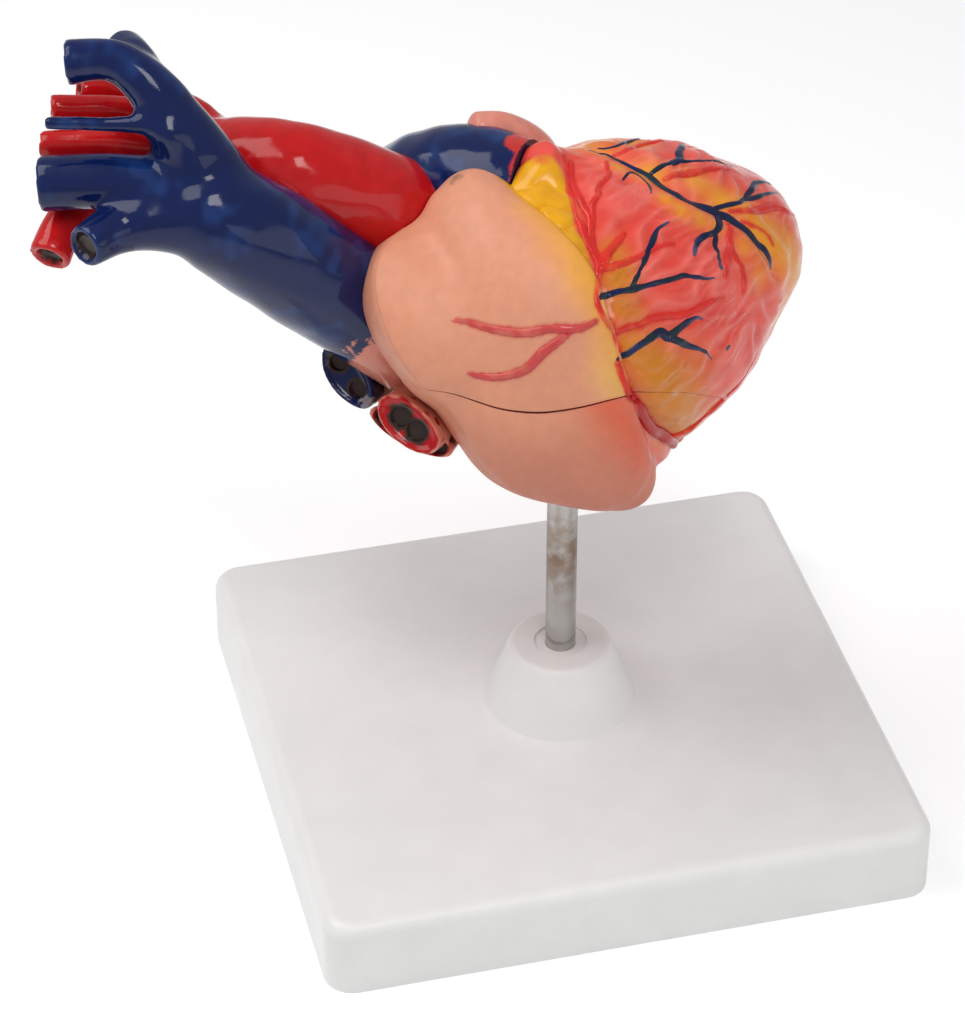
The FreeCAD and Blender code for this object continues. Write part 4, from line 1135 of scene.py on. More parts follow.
def parted(lines):
    """Every line's runs on the front wall, above the seam and past the ridge, and its others."""
    front, rear = [], []
    for rows in lines:
        inside = np.minimum(above_seam(rows[:, :3]), (rows[:, :3] - RIDGE_AT) @ RIDGE_WAY)
        for place, keep in ((front, inside > 0.25), (rear, inside < -0.55)):
            edges = np.flatnonzero(np.diff(np.concatenate([[0], keep, [0]])))
            place += [rows[i:j] for i, j in zip(edges[::2], edges[1::2]) if j - i > 3]
    return front, rear


print("a bead has", BEAD_AROUND, "points around")

# %% [markdown]
# The strokes themselves, veins first. The great vein runs down the front between the ventricles
# with branches on both sides; two shorter veins cross the right ventricle from the groove.

# %% Marks of the veins
GREAT_VEIN_MARKS = [(61.5, 24, .25), (61, 28.5, .5), (53.5, 29.5, .6), (47.5, 31, .65),
                    (42.5, 32, .8), (37, 32.5, .9), (31, 32.5, .9), (26, 33.5, .9),
                    (21.5, 35, .95), (18, 37.5, .9), (14, 40.5, 1.2), (10.5, 42, 1.1),
                    (7.5, 44, 1), (2.5, 45.5, .9), (-3, 47, .85), (-10.5, 48, .8),
                    (-15.5, 49.5, .75), (-22.5, 50, .6), (-27.5, 50, .3)]
FRONT_VEINS = [
    GREAT_VEIN_MARKS,
    [(64.5, 28, .3), (61.5, 32, .45), (65.5, 36.5, .7), (69, 41, .5)],
    [(40, 33, .5), (41, 36, .8), (42.5, 41, 1.1), (45, 43.5, 1.2), (49.5, 45, 1.1),
     (59.5, 49.5, .8)],
    [(42.5, 41, .7), (42, 43, .7), (41, 46.5, .6), (40.5, 50, .5), (41, 54, .45), (41, 57.5, .4),
     (46, 61, .25)],
    [(14, 40.5, .6), (13, 44, .6), (11.5, 48, .6), (12.5, 51.5, .7), (11.5, 55.5, .7),
     (12, 60, .55), (12.5, 66, .3)],
    [(12.5, 51.5, .6), (14.5, 53.5, .7), (17, 56, .8), (23, 60.5, .8), (25, 64.5, .6),
     (26, 67, .3)],
    [(11, 41.5, 1), (8.5, 41, 1.2), (7, 40, 1.1), (4, 37, 1), (4.5, 33.5, .8), (4, 31, .75),
     (2, 29, .7), (-0.5, 27, .4)],
    [(4, 37, .8), (1.5, 36.5, .85), (-1.5, 35, .75), (-5, 34, .6), (-8.5, 32.5, .5),
     (-10.5, 31.5, .25)],
    [(40.5, 24.5, .3), (43, 27.5, .5), (43, 29, .6), (41, 29.5, .45), (38, 29.5, .4),
     (33, 28.5, .35), (29, 26.5, .2)],
    [(3.5, -1.5, .9), (2.5, 1.5, .9), (1.5, 5, .85), (0, 8, .9), (-1, 11, .8), (-2.5, 15, .7),
     (-4, 19, .65), (-5, 22, .75), (-7.5, 24, .55), (-10, 26.5, .4), (-11.5, 28.5, .25)],
    [(0, 8, .6), (2.5, 10.5, .6), (5.5, 13.5, .6), (9, 17, .8), (11.5, 19.5, .7), (15, 22.5, .6),
     (15.5, 24.5, .4), (15.5, 26, .25)],
    [(-19.5, -3.5, .8), (-19.5, 0, .85), (-18.5, 3, .9), (-18.5, 7.5, .9), (-19, 10.5, 1.2),
     (-22, 12, 1.3), (-21.5, 15, 1), (-21, 18, .8), (-21.5, 21, .5), (-23.5, 22.5, .25)],
    [(-22, 12, 1.1), (-25.5, 14, .9), (-29.5, 16.5, .8), (-33.5, 19.5, .6), (-37, 21.5, .45),
     (-41.5, 23, .2)],
    [(-41.5, 27, .3), (-41.5, 28, .7), (-41.5, 29, .3)],
    [(81, 22, .35), (81, 23.5, .5), (81, 25, .25)]]
REAR_VEINS = [
    [(-100, 12, 1.1), (-108, 22, 1.15), (-116, 34, 1.0), (-122, 46, .8), (-124, 55, .4)],
    [(-113, 30, .7), (-103, 38, .6), (-96, 47, .3)],
    [(-118, 38, .7), (-132, 45, .6), (-142, 54, .3)],
    [(-146, 6, .8), (-150, 18, .8), (-160, 30, .6), (-168, 42, .3)]]
print("veins:", len(FRONT_VEINS), "in front,", len(REAR_VEINS), "behind")

# %% [markdown]
# The right coronary artery follows the groove, fine above the parting seam and as thick as a cord
# below it. Its branches, and those of the left artery, are thin. Two lie on the right atrium.

# %% Marks of the arteries
GROOVE_ARTERY = [(58, 15, .55), (43, 11, .7), (30, 7.5, .85), (22, 6, .9), (16, 5.5, .9),
                 (12, 4, .9), (8.5, 1.5, .8), (5.5, -0.5, .75), (3, -2, .75), (-0.5, -2.5, .75),
                 (-5.5, -2, .8), (-9.5, -1, .8), (-13.5, -1.5, .8), (-18.5, -1.5, .85),
                 (-21, -3.5, .95), (-25.5, -3, 1.2), (-30, -3, 1.3), (-35, -2, 1.4),
                 (-55, 3.5, 1.4), (-65, 8, 1.3), (-78, 13, 1.2), (-92, 16, 1.05), (-106, 16, .8),
                 (-118, 17, .4)]
FRONT_ARTERIES = [
    [(55.5, 16, .5), (50, 14, .6), (43.5, 12.5, .7), (37, 11, .8), (32, 10.5, .8), (26.5, 8.5, .8),
     (21, 6.5, .85), (16, 5.5, 1), (13, 5.5, 1)],
    [(52, 25, .3), (45, 22.5, .45), (42.5, 20, .5), (41, 17.5, .5), (37, 15, .55), (35, 12.5, .7),
     (31, 11, .6), (27, 9.5, .3)],
    [(14.5, 5, .8), (14, 6, 1.7), (15.5, 8, 1), (17, 11, .85), (18.5, 14, .6), (19.5, 15, .3)],
    [(12, 4, .9), (10.5, 7, .85), (9.5, 11, .75), (9, 14, .5), (9, 19, .45), (8.5, 22, .45),
     (7, 25, .25)],
    [(-11, -1, .7), (-11, 2.5, .75), (-12.5, 6, .7), (-13, 10, .75), (-15, 14, .85),
     (-17.5, 17.5, .8), (-18.5, 21.5, .7), (-19, 25.5, .6), (-20.5, 29.5, .25)],
    [(57, 30, .35), (56.5, 33, .6), (60.5, 37.5, .75), (62, 41.5, .85), (63.5, 45.5, .5)],
    [(34.5, 34.5, .4), (34.5, 38, .8), (33.5, 42, .95), (34, 46, .85), (33.5, 50.5, .7),
     (34, 55, .4)],
    [(9.5, 45, .4), (5.5, 50, .7), (3.5, 55.5, .95), (1.5, 60, 1), (-7.5, 63.5, .8),
     (-22, 68, .4)],
    [(4, 43, .5), (-0.5, 40, .8), (-5.5, 38.5, .95), (-9, 36, .9), (-12, 33, .7),
     (-15.5, 31.5, .35)],
    [(-6.5, 39, .5), (-12.5, 39, .6), (-18.5, 38.5, .7), (-22, 37, .6), (-26.5, 36, .25)],
    [(2.5, 47, .3), (-3.5, 49.5, .35), (-11, 51.5, .35), (-18, 52, .2)]]
ATRIUM_ARTERIES = [
    [(17.5, -6, 34, .5), (14.5, -6, 34, .8), (11.5, -5, 35, .95), (7, -2.5, 34, .95),
     (2.5, -1, 33, 1), (-1.5, 1.5, 30, .9), (-4.5, 4, 29, .8), (-7.5, 7, 29, .6),
     (-11, 9.5, 29, .25)],
    [(10, -5.5, 35, .9), (7, -6, 34, .9), (3, -6.5, 33, .95), (-1, -7.5, 30, 1), (-5, -7, 28, .9),
     (-9, -6, 28, .8), (-12.5, -4.5, 29, .6), (-14.5, -2.5, 29, .2)]]
REAR_ARTERIES = [
    [(-88, 15, .9), (-98, 24, .85), (-107, 36, .7), (-113, 47, .5), (-117, 54, .25)],
    [(-70, 10, .7), (-72, 20, .6), (-68, 31, .45), (-62, 40, .2)]]
print("arteries:", 1 + len(FRONT_ARTERIES) + len(ATRIUM_ARTERIES) + len(REAR_ARTERIES))

# %% [markdown]
# Every stroke is parted where the front wall ends, so that each half rides on its own casting.

# %% Beads along the strokes
vein_strokes = [stroke(marks) for marks in FRONT_VEINS + REAR_VEINS]
groove_artery = stroke(GROOVE_ARTERY)
artery_strokes = [stroke(marks) for marks in FRONT_ARTERIES + ATRIUM_ARTERIES + REAR_ARTERIES]
front_vein_runs, rear_vein_runs = parted(vein_strokes)
front_artery_runs, rear_artery_runs = parted([groove_artery] + artery_strokes)


def beads(name, runs, high):
    """One piece from many beads."""
    return to_object(name, together([bead(rows, high) for rows in runs]))


front_veins = beads("front_vein_lines", front_vein_runs, 0.34)
rear_veins = beads("rear_vein_lines", rear_vein_runs, 0.45)
front_arteries = beads("front_artery_lines", front_artery_runs, 0.42)
rear_arteries = beads("rear_artery_lines", rear_artery_runs, 0.9)
for piece, body, node in ((front_veins, "front_wall", "front_cardiac_veins"),
                          (front_arteries, "front_wall", "front_coronary_arteries"),
                          (rear_veins, "heart", "rear_cardiac_veins"),
                          (rear_arteries, "heart", "rear_coronary_arteries")):
    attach(piece, body)
    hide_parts(node)
    print(piece.name, len(piece.data.polygons), "faces on", body)

# %% [markdown]
# The paint is put on by hand and by airbrush: coral over the ventricles, peach over the atrium,
# a sprayed yellow for the fat, and brushed lines. Here each coat is a soft mask between 0 and 1,
# worked out from places on the heart, and laid over the coats before it. The result is one colour
# for each point, kept with the mesh.

# %% Colours and coats


def srgb(r, g, b):
    """A colour as written in paint shops, 0 to 255, as linear light."""
    c = np.array([r, g, b], float) / 255.0
    return np.where(c <= 0.04045, c / 12.92, ((c + 0.055) / 1.055) ** 2.4)


def coat(under, colour, mask):
    """Lays a colour over what is there: under (1 - mask) + colour mask."""
    return under + (colour - under) * np.clip(mask, 0, 1)[:, None]


CORAL, PINK, DEEP_CORAL = srgb(236, 76, 64), srgb(244, 102, 92), srgb(216, 48, 38)
PEACH, SALMON, FLESH = srgb(230, 156, 124), srgb(206, 128, 104), srgb(222, 142, 122)
FAT, OCHRE, AMBER = srgb(240, 172, 24), srgb(214, 134, 30), srgb(242, 156, 44)
ATRIUM_RED = srgb(206, 62, 68)
RED, SOFT_RED, ORANGE_RED = srgb(196, 18, 22), srgb(222, 44, 38), srgb(228, 92, 60)
NAVY, INK, SLATE, SPRUCE = srgb(10, 28, 80), srgb(22, 26, 64), srgb(92, 86, 116), srgb(28, 48, 52)
# the second colour here is the cream of a painted highlight beside the groove's artery
BROWN, CREAM_HIGHLIGHT = srgb(44, 28, 24), srgb(250, 190, 130)
FAT_SPOTS = [(68, 24, 5, .7), (73, 32, 5, .8), (62, 38, 4, .8), (60, 28, 3.5, .7),
             (40, 33, 4.5, .95), (29, 41, 4.5, .8), (25, 29, 2.6, .8), (18, 30, 2.6, .8),
             (12, 34, 3, .8), (16, 44, 4.5, .9), (10, 49, 4, .8), (6, 38, 2.5, .7),
             (48, 27, 2.6, .7), (-6, 50, 5, 1.0), (-14, 52, 6, 1.0), (-28, 56, 7, .95),
             (-45, 58, 6, .8), (-56, 60, 6, .8), (-70, 54, 7, .7), (-24, 43, 4, .5),
             (-8, 42, 3, .6)]
OCHRE_SPOTS = [(16, 10, 3.2, .8), (9, 8, 4.2, .9), (5, 6, 4, .9), (-3, 3, 4, .8), (-8, 6, 4, .6),
               (-17, 0, 3.2, .9), (-19, 2, 4, .7), (-25, 4, 5.5, .95), (-33, 6, 7, 1.0),
               (-44, 8, 7.5, 1.0), (-55, 12, 8, 1.0), (-64, 13, 7, .9), (-38, 17, 6, .35),
               (-80, 20, 8, .7), (-100, 24, 9, .6), (-112, 34, 8, .7), (-118, 46, 7, .6),
               (-140, 10, 8, .7), (-165, 6, 8, .7), (170, 4, 8, .7), (145, 6, 7, .6)]
print("sprayed spots:", len(FAT_SPOTS) + len(OCHRE_SPOTS))

# %% [markdown]
# Two kinds of mask: round sprayed spots on the egg, and brushed strokes, whose edge follows the
# line on the skin and wavers a little.

# %% Masks
PAINT_LAP = 0.28  # mm of paint beside a bead


def spots(p, marks):
    """1 - product of (1 - strength * bell) over spots (angle, length, width, strength)."""
    marks = np.array(marks, float)
    centres = to_skin(on_egg(marks[:, 0], marks[:, 1]))
    left = np.ones(len(p))
    for centre, (_, _, width, strength) in zip(centres, marks):
        left *= 1 - strength * bump(np.linalg.norm(p - centre, axis=1), width)
    return 1 - left


def stroke_mask(p, rows, soft=0.35):
    """1 on a stroke, 0 away from it, with a soft and slightly uneven edge."""
    mask = np.zeros(len(p))
    low, high = rows[:, :3].min(0) - 3, rows[:, :3].max(0) + 3
    near = np.flatnonzero(((p > low) & (p < high)).all(1))
    if len(near):
        gap = tube_gap(p[near], rows[::3]) - PAINT_LAP + 0.12 * uneven(p[near], 2.4, 61)
        mask[near] = 1 - ease(gap, -soft, soft)
    return mask


def on_ventricles(p):
    """1 where the ventricles' egg is the outer body, 0 on the atria."""
    way = unit(p - ATRIUM_AT)
    outer = ventricle_reach(way) - np.maximum(atrium_reach(way), left_atrium_reach(way))
    return ease(outer, -0.35, 0.35) * (1 - apron(p)[0])


print("fat straight in front:", spots(skin_at(FACE[None]), FAT_SPOTS).round(2))

# %% [markdown]
# The coats in the order of the real paint: the body colour, then sprayed tones and the fat, with a
# pale pink painted highlight on the fine strands before the fat.

# %% Coats of the ventricles and the atria


def ventricle_paint(p):
    """Coats on the ventricles: coral, fat, ochre and a pale pink painted highlight on the fine
    strands.
    """
    angle, n = egg_place(p)
    beyond = past_groove(p)
    c = np.broadcast_to(CORAL, p.shape)
    c = coat(c, PINK, 0.75 * ease(uneven(p, 19, 51) + 0.4 * uneven(p, 6, 52), -0.3, 1.0))
    c = coat(c, DEEP_CORAL, 0.5 * ease(uneven(p, 12, 53) + 0.5 * uneven(p, 5, 54), 0.25, 1.2))
    # painted highlight: pale pink along the crests of the fine strands
    c = coat(c, srgb(255, 168, 156), 0.5 * strands(p) * ease(beyond, 2, 6))
    c = coat(c, AMBER, 0.9 * spots(p, FAT_SPOTS))
    c = coat(c, FAT, 0.35 * spots(p, [m[:2] + (m[2] * 0.6, m[3]) for m in FAT_SPOTS]))
    c = coat(c, OCHRE, 0.95 * spots(p, OCHRE_SPOTS))
    right = ease(angle, -2, 10) * (1 - ease(angle + 0.6 * n + 1.5 * uneven(p, 6, 50), 61.5, 67.5))
    band = right * (1 - ease(beyond + 0.5 * uneven(p, 5, 55), -1.6, 0.2))
    c = coat(c, FAT, band)
    c = coat(c, OCHRE, 0.55 * band * ease(-angle, -34, 6))
    return coat(c, OCHRE, 0.3 * band * ease(uneven(p, 6, 56), -0.2, 0.9))


def atrium_paint(p):
    """Coats on the atria: peach, deeper salmon low down that also paints the shade of the lower
    side, sprayed yellow and orange-red edges.
    """
    v = p - ATRIUM_AT
    s, u, f = v @ ACROSS, v @ UPRIGHT, v @ FACE
    seam = above_seam(p)
    c = np.broadcast_to(PEACH, p.shape)
    # darker towards the bottom: deeper salmon coats, which also paint the shade of the lower side
    c = coat(c, srgb(222, 150, 120), 0.7 * ease(-u + 0.6 * s + 3 * uneven(p, 24, 57), -14, 20))
    c = coat(c, SALMON, 0.75 * ease(-seam, 0, 14))
    c = coat(c, srgb(196, 112, 96), 0.6 * ease(-seam + 4 * uneven(p, 20, 58), 12, 34))
    c = coat(c, FLESH, 0.7 * (1 - ease(s, -34, -20)))
    above = ease(seam, -0.4, 0.4)
    yellow = above * ease(s + 1.2 * uneven(p, 14, 59), 10.5, 21.5) * ease(f, 2, 12)
    yellow = yellow * (1 - ease(u, 24, 33))
    c = coat(c, srgb(246, 172, 66), 0.95 * yellow)
    c = coat(c, srgb(240, 190, 100), 0.5 * above * ease(s, 6, 14) * (1 - ease(u, -20, -8)))
    below = 1 - above
    near = tube_gap(p, smooth_rows(groove_artery[::6], COARSE_STEP))
    c = coat(c, ORANGE_RED, 0.8 * below * bump(near - 4.5, 6.5) * ease(f, 0, 10))
    c = coat(c, srgb(236, 128, 66), 0.85 * below * bump(near, 3.2) * ease(-seam, 8, 20))
    chipped = np.linalg.norm(p - (-25.5, 6, 168.3), axis=1) + 0.8 * uneven(p, 1.6, 60)
    return coat(c, srgb(140, 108, 80), 0.85 * bump(chipped, 1.6))


print("atrium's colour straight in front:", atrium_paint(skin_at(FACE[None])).round(2))

# %% [markdown]
# Both sets of coats are laid together along the groove, with a brown painted shade in the crease
# where the atrium meets the ventricles. The brushed arteries come last, with a few pale painted
# highlights beside the groove's artery.

# %% All coats together


def paint_at(p):
    """All coats together, the brushed red lines last. Returns colours and where gloss is full."""
    wet = on_ventricles(p)
    c = atrium_paint(p)
    c = c + (ventricle_paint(p) - c) * wet[:, None]
    way = unit(p - ATRIUM_AT)
    # painted shade: brown darkening in the crease where the atrium's skin meets the ventricles'
    crease_shade = bump(ventricle_reach(way) - atrium_reach(way), 0.8)
    c = coat(c, srgb(150, 84, 40), 0.35 * crease_shade * (1 - ease(apron(p)[1], 0.0, 0.3)))
    groove = stroke_mask(p, groove_artery, 0.5)
    seam, (angle, _) = above_seam(p), egg_place(p)
    c = coat(c, SOFT_RED, groove * (1 - 0.2 * ease(uneven(p, 5, 62), 0.0, 1.0) * ease(seam, 0, 6)))
    # painted highlight: a pale cream line beside the groove's artery, a little towards the tip
    pale_highlight = (ease(seam, 2, 5) * (1 - ease(angle, 2, 12))
            + 0.5 * ease(angle, 20, 30) * ease(uneven(p, 7, 65), -0.2, 0.6))
    painted_gleam = bump(line_distance(p, groove_artery[::8, :3] + 0.55 * LONG), 0.55)
    c = coat(c, CREAM_HIGHLIGHT, 0.85 * pale_highlight * painted_gleam)
    c = coat(c, srgb(184, 8, 12), groove * ease(-seam, -2, 1))
    first = len(FRONT_ARTERIES)
    for k, rows in enumerate(artery_strokes):
        red = ATRIUM_RED if first <= k < first + len(ATRIUM_ARTERIES) else SOFT_RED
        dry = 1 - 0.25 * ease(uneven(p, 4, 63), 0.2, 1.0)
        c = coat(c, red, 0.92 * stroke_mask(p, rows) * dry)
    return c, wet


def keep_paint(piece, colours, gloss):
    """Stores a colour and a gloss value for every point of the piece."""
    count = len(piece.data.vertices)
    rgba = np.ones((count, 4), np.float32)
    rgba[:, :3] = colours
    paint = piece.data.attributes.new("paint", "FLOAT_COLOR", "POINT")
    paint.data.foreach_set("color", rgba.ravel())
    shine = piece.data.attributes.new("gloss", "FLOAT", "POINT")
    shine.data.foreach_set("value", np.broadcast_to(gloss, (count,)).astype(np.float32))


for piece in (front_wall, rear_casting, front_arteries, rear_arteries):
    colours, gloss = paint_at(mesh_points(piece))
    keep_paint(piece, colours, gloss if piece in (front_wall, rear_casting) else 1.0)
    print("painted", piece.name, len(colours), "points")

# %% [markdown]
# Veins and great vessels are brushed with enamel. The blue is nearly black where it is thick, has
# a green cast on the great vein, and turns slate grey where the brush ran dry at the ends of
# strokes. Mouths of cut vessels are filled with dark brown.

# %% Enamel
THIN_NAVY, THIN_RED = srgb(30, 64, 126), srgb(208, 36, 38)


def vein_paint(p, lines):
    """Ink blue, greener in places, slate where the nearest stroke is thin."""
    c = np.broadcast_to(INK, p.shape)
    c = coat(c, NAVY, 0.8 * ease(uneven(p, 7, 71), -0.1, 0.9))
    c = coat(c, SPRUCE, 0.75 * ease(uneven(p, 9, 72), 0.0, 0.9))
    far = np.min([np.linalg.norm(p - rows[-1, :3], axis=1) for rows in lines], axis=0)
    return coat(c, SLATE, 0.85 * (1 - ease(far + 1.2 * uneven(p, 2.5, 73), 0.5, 5.5)))


def enamel(p, thick, thin, mouths=()):
    """Enamel colour with drier patches, and brown inside the mouths (place, way, radius)."""
    dry = 0.5 * ease(uneven(p, 16, 81) + 0.5 * uneven(p, 5, 82), 0, 1.3)
    c = coat(np.broadcast_to(thick, p.shape), thin, dry)
    for place, way, radius in mouths:
        along = (p - place) @ way
        off = np.linalg.norm(p - place - along[:, None] * way, axis=1) - radius
        inside = (along > -8) & (along < 1.5)
        c = coat(c, thin, inside * 0.4 * bump(off - 0.9, 0.6) * ease(along, -1.2, -0.3))
        c = coat(c, BROWN, inside * (1 - ease(off + 0.4 * uneven(p, 2, 83), -0.5, 0.35))
                 * (1 - ease(along, -0.9, -0.25)))
    return c


def mouth_of(rows, radius):
    """Place, way and radius of the mouth at the free end of a tube."""
    rows = np.array(rows, float)
    return rows[-1, :3], unit(rows[-1, :3] - smooth_rows(rows, TUBE_STEP)[-3, :3]), radius


def enamel_over(piece, thick, thin, mouths=(), gloss=1.0):
    """Enamels a whole piece."""
    keep_paint(piece, enamel(mesh_points(piece), thick, thin, mouths), gloss)


def stub_paint(c, p, stub, inside, pit, size):
    """Colours a flattened mouth: inside its rim, then the brown of its two pits."""
    end, way, along, places, radius = stub
    off, deep = p - end[:3], (end[:3] - p) @ way
    oval = np.hypot(off @ along / end[3], off @ np.cross(way, along) / end[4])
    oval = oval + 0.05 * uneven(p, 3, 85)
    shallow = 1 - ease(deep, 4.5, 5.5)
    c = coat(c, inside, (1 - ease(oval, *size)) * shallow * ease(deep, -1, 0))
    for place in places:
        gap = np.linalg.norm(p - place - ((p - place) @ way)[:, None] * way, axis=1) - radius
        gap = gap + 0.3 * uneven(p, 2, 89)
        c = coat(c, pit, (1 - ease(gap, 0.1, 0.9)) * ease(deep, 0.5, 1.1) * shallow)
    return c


print("thinned navy and red, in linear light:", THIN_NAVY.round(2), THIN_RED.round(2))

# %% [markdown]
# The upper vena cava is brushed blue down to a ragged edge, past which the flesh tint of the
# casting shows. The sawn face of the lung trunk has a red rim, and the face itself is painted near
# black as a painted shadow in the seam's gap. The stubs of the right lung's vessels are coloured
# inside.

# %% Enamel on the great vessels
BRUSH_END = np.array((-45.5, -16.4, 138.1))
BRUSH_WAY = 0.72 * VIEW_RIGHT - 0.69 * VIEW_UP
CAVA_WAY = unit((0.6, 0.23, -0.76))
p = mesh_points(great_veins)
c = enamel(p, NAVY, THIN_NAVY, [mouth_of(*branch) for branch in VEIN_TREE])
streaky = p - 0.8 * (p @ CAVA_WAY)[:, None] * CAVA_WAY
brushed = (p - BRUSH_END) @ BRUSH_WAY + 1.5 * uneven(p, 6, 86) + 1.3 * uneven(streaky, 1.1, 87)
flesh = coat(np.broadcast_to(FLESH, p.shape), srgb(208, 112, 92),
             0.6 * ease(uneven(p, 9, 88), 0, 1))
keep_paint(great_veins, coat(c, flesh, ease(brushed, -0.25, 0.25)), 1.0)
enamel_over(great_arteries, RED, THIN_RED,
            [mouth_of(rows, radius) for rows, radius in ARTERY_TREE if radius])
p = mesh_points(trunk)
behind = (ROOT_AT - p) @ ROOT_WAY
high = (p - np.array((-8.0, 12.5, 157.0))) @ VIEW_UP
rim = 1 - ease(behind + 0.5 * uneven(p, 5, 84) - 0.4 - 4.0 * ease(high, 10, 13.5), 0.0, 0.5)
c = coat(enamel(p, NAVY, THIN_NAVY, [mouth_of(TRUNK, TRUNK_MOUTH)]), srgb(206, 50, 44), rim)
# painted shadow: the sawn face itself is near-black ink, the dark of the seam's gap
keep_paint(trunk, coat(c, INK, behind < SEAM_GAP + 0.02), 1.0)
p = mesh_points(lung_artery)
c = enamel(p, NAVY, THIN_NAVY)
c = stub_paint(c, p, artery_stub, NAVY, srgb(58, 38, 36), (0.8, 0.9))
worn_at = artery_stub[0][:3] + 7.4 * unit(ARTERY_STUB_LONG) + (0.6, 0, 0)
worn = np.linalg.norm(p - worn_at, axis=1) + 0.9 * uneven(p, 1.6, 90)
keep_paint(lung_artery, coat(c, srgb(150, 146, 150), 0.8 * (1 - ease(worn, 1.4, 2.1))), 1.0)
p = mesh_points(lung_veins)
c = enamel(p, FLESH, srgb(226, 150, 136))
for stub in (back_stub, vein_stub):
    c = stub_paint(c, p, stub, srgb(186, 12, 20), srgb(58, 44, 40), (0.92, 0.98))
keep_paint(lung_veins, c, 0.9)
enamel_over(lower_cava, NAVY, THIN_NAVY, [mouth_of(LOWER_CAVA, CAVA_MOUTH)])
enamel_over(left_lung_veins, RED, THIN_RED,
            [mouth_of(rows, LUNG_MOUTH) for rows in (UPPER_LUNG_VEIN, LOWER_LUNG_VEIN)])
enamel_over(auricle, srgb(228, 140, 122), srgb(240, 160, 140), gloss=0.5)
for piece, runs in ((front_veins, front_vein_runs), (rear_veins, rear_vein_runs)):
    keep_paint(piece, vein_paint(mesh_points(piece), runs), 1.0)
print("enamelled: 8 vessels and 2 sets of fine veins")

# %% [markdown]
# Fresh enamel is glossy but keeps brush marks, and the airbrushed coat is satin. The colour comes
# from the mesh; noise in the object's own space makes it slightly uneven, changes the roughness
# and raises fine ripples, which break the edges of every reflection as on the real model.

# %% Shader building blocks


def node(tree, kind, place, **values):
    """A shader node at a place, with its properties and input values set."""
    made = tree.nodes.new(kind)
    made.location = place
    for key, value in values.items():
        if key in made.inputs:
            made.inputs[key].default_value = value
        else:
            setattr(made, key, value)
    return made


def noise(tree, coords, size_mm, detail, place):
    """Noise with features about size_mm across, in object space."""
    made = node(tree, "ShaderNodeTexNoise", place, Scale=1000.0 / size_mm, Detail=detail)
    tree.links.new(coords, made.inputs["Vector"])
    return made.outputs["Fac"]


def ranged(tree, value, low, high, to_low, to_high, place):
    """Map Range from low..high to to_low..to_high."""
    made = tree.nodes.new("ShaderNodeMapRange")
    made.location = place
    sockets = (made.inputs[key] for key in ("Value", "From Min", "From Max", "To Min", "To Max"))
    feed(tree, sockets, (value, low, high, to_low, to_high))
    return made.outputs["Result"]


def feed(tree, sockets, values):
    """Links each output to its socket, or sets the socket to a plain value."""
    for socket, value in zip(sockets, values):
        if isinstance(value, bpy.types.NodeSocket):
            tree.links.new(value, socket)
        else:
            socket.default_value = value


def mixed(tree, kind, factor, one, two, place):
    """Mix node for colours; factor, one and two are outputs or values."""
    made = node(tree, "ShaderNodeMix", place, data_type="RGBA", blend_type=kind)
    feed(tree, (made.inputs[0], made.inputs[6], made.inputs[7]), (factor, one, two))
    return made.outputs[2]


def maths(tree, operation, values, place):
    """Math node on outputs or values."""
    made = node(tree, "ShaderNodeMath", place, operation=operation)
    feed(tree, made.inputs, values)
    return made.outputs[0]


def new_material(name):
    """Material with its node tree, shader and object coordinates."""
    made = bpy.data.materials.new(name)
    made.use_nodes = True
    tree = made.node_tree
    coords = node(tree, "ShaderNodeTexCoord", (-1100, 0)).outputs["Object"]
    return made, tree, tree.nodes["Principled BSDF"], coords


def rippled(tree, shader, coords, fine_mm, broad_mm, height):
    """Fine and broad ripples joined into one bump, height in metres."""
    fine_noise = noise(tree, coords, fine_mm, 3.0, (-800, -450))
    broad_noise = noise(tree, coords, broad_mm, 2.0, (-800, -700))
    both = maths(tree, "MULTIPLY_ADD", (broad_noise, broad_mm / fine_mm, fine_noise), (-600, -450))
    made = node(tree, "ShaderNodeBump", (-400, -450), Strength=1.0, Distance=height)
    tree.links.new(both, made.inputs["Height"])
    tree.links.new(made.outputs["Normal"], shader.inputs["Normal"])


print("shader building blocks ready")

# %% [markdown]
# One finish serves all painted skins. It takes its colour from the mesh, and its roughness from
# the gloss kept there: satin where the paint was sprayed, glossy where it was brushed.

# %% Painted finish


def painted_finish(name, dull, shiny, ripple, shade, shine=0.34):
    """Paint from the mesh's own colours. Roughness goes from dull to shiny with its gloss value."""
    made, tree, shader, coords = new_material(name)
    shader.inputs["Specular IOR Level"].default_value = shine
    colour = node(tree, "ShaderNodeAttribute", (-900, 200), attribute_name="paint").outputs["Color"]
    gloss = node(tree, "ShaderNodeAttribute", (-900, -150), attribute_name="gloss").outputs["Fac"]
    cloud = noise(tree, coords, 3.0, 4.0, (-900, 450))
    patchy = ranged(tree, cloud, 0.35, 0.65, 1 - shade, 1 + shade * 0.5, (-700, 450))
    grey = node(tree, "ShaderNodeCombineColor", (-520, 450))
    feed(tree, grey.inputs, (patchy, patchy, patchy))
    tree.links.new(mixed(tree, "MULTIPLY", 1.0, colour, grey.outputs[0], (-300, 250)),
                   shader.inputs["Base Color"])
    rough = ranged(tree, gloss, 0.0, 1.0, dull, shiny, (-700, -150))
    spread = ranged(tree, noise(tree, coords, 5.0, 3.0, (-900, -300)), 0.3, 0.7, -0.05, 0.07,
                    (-700, -330))
    tree.links.new(maths(tree, "ADD", (rough, spread), (-500, -200)), shader.inputs["Roughness"])
    rippled(tree, shader, coords, 0.9, 4.0, ripple)
    return made


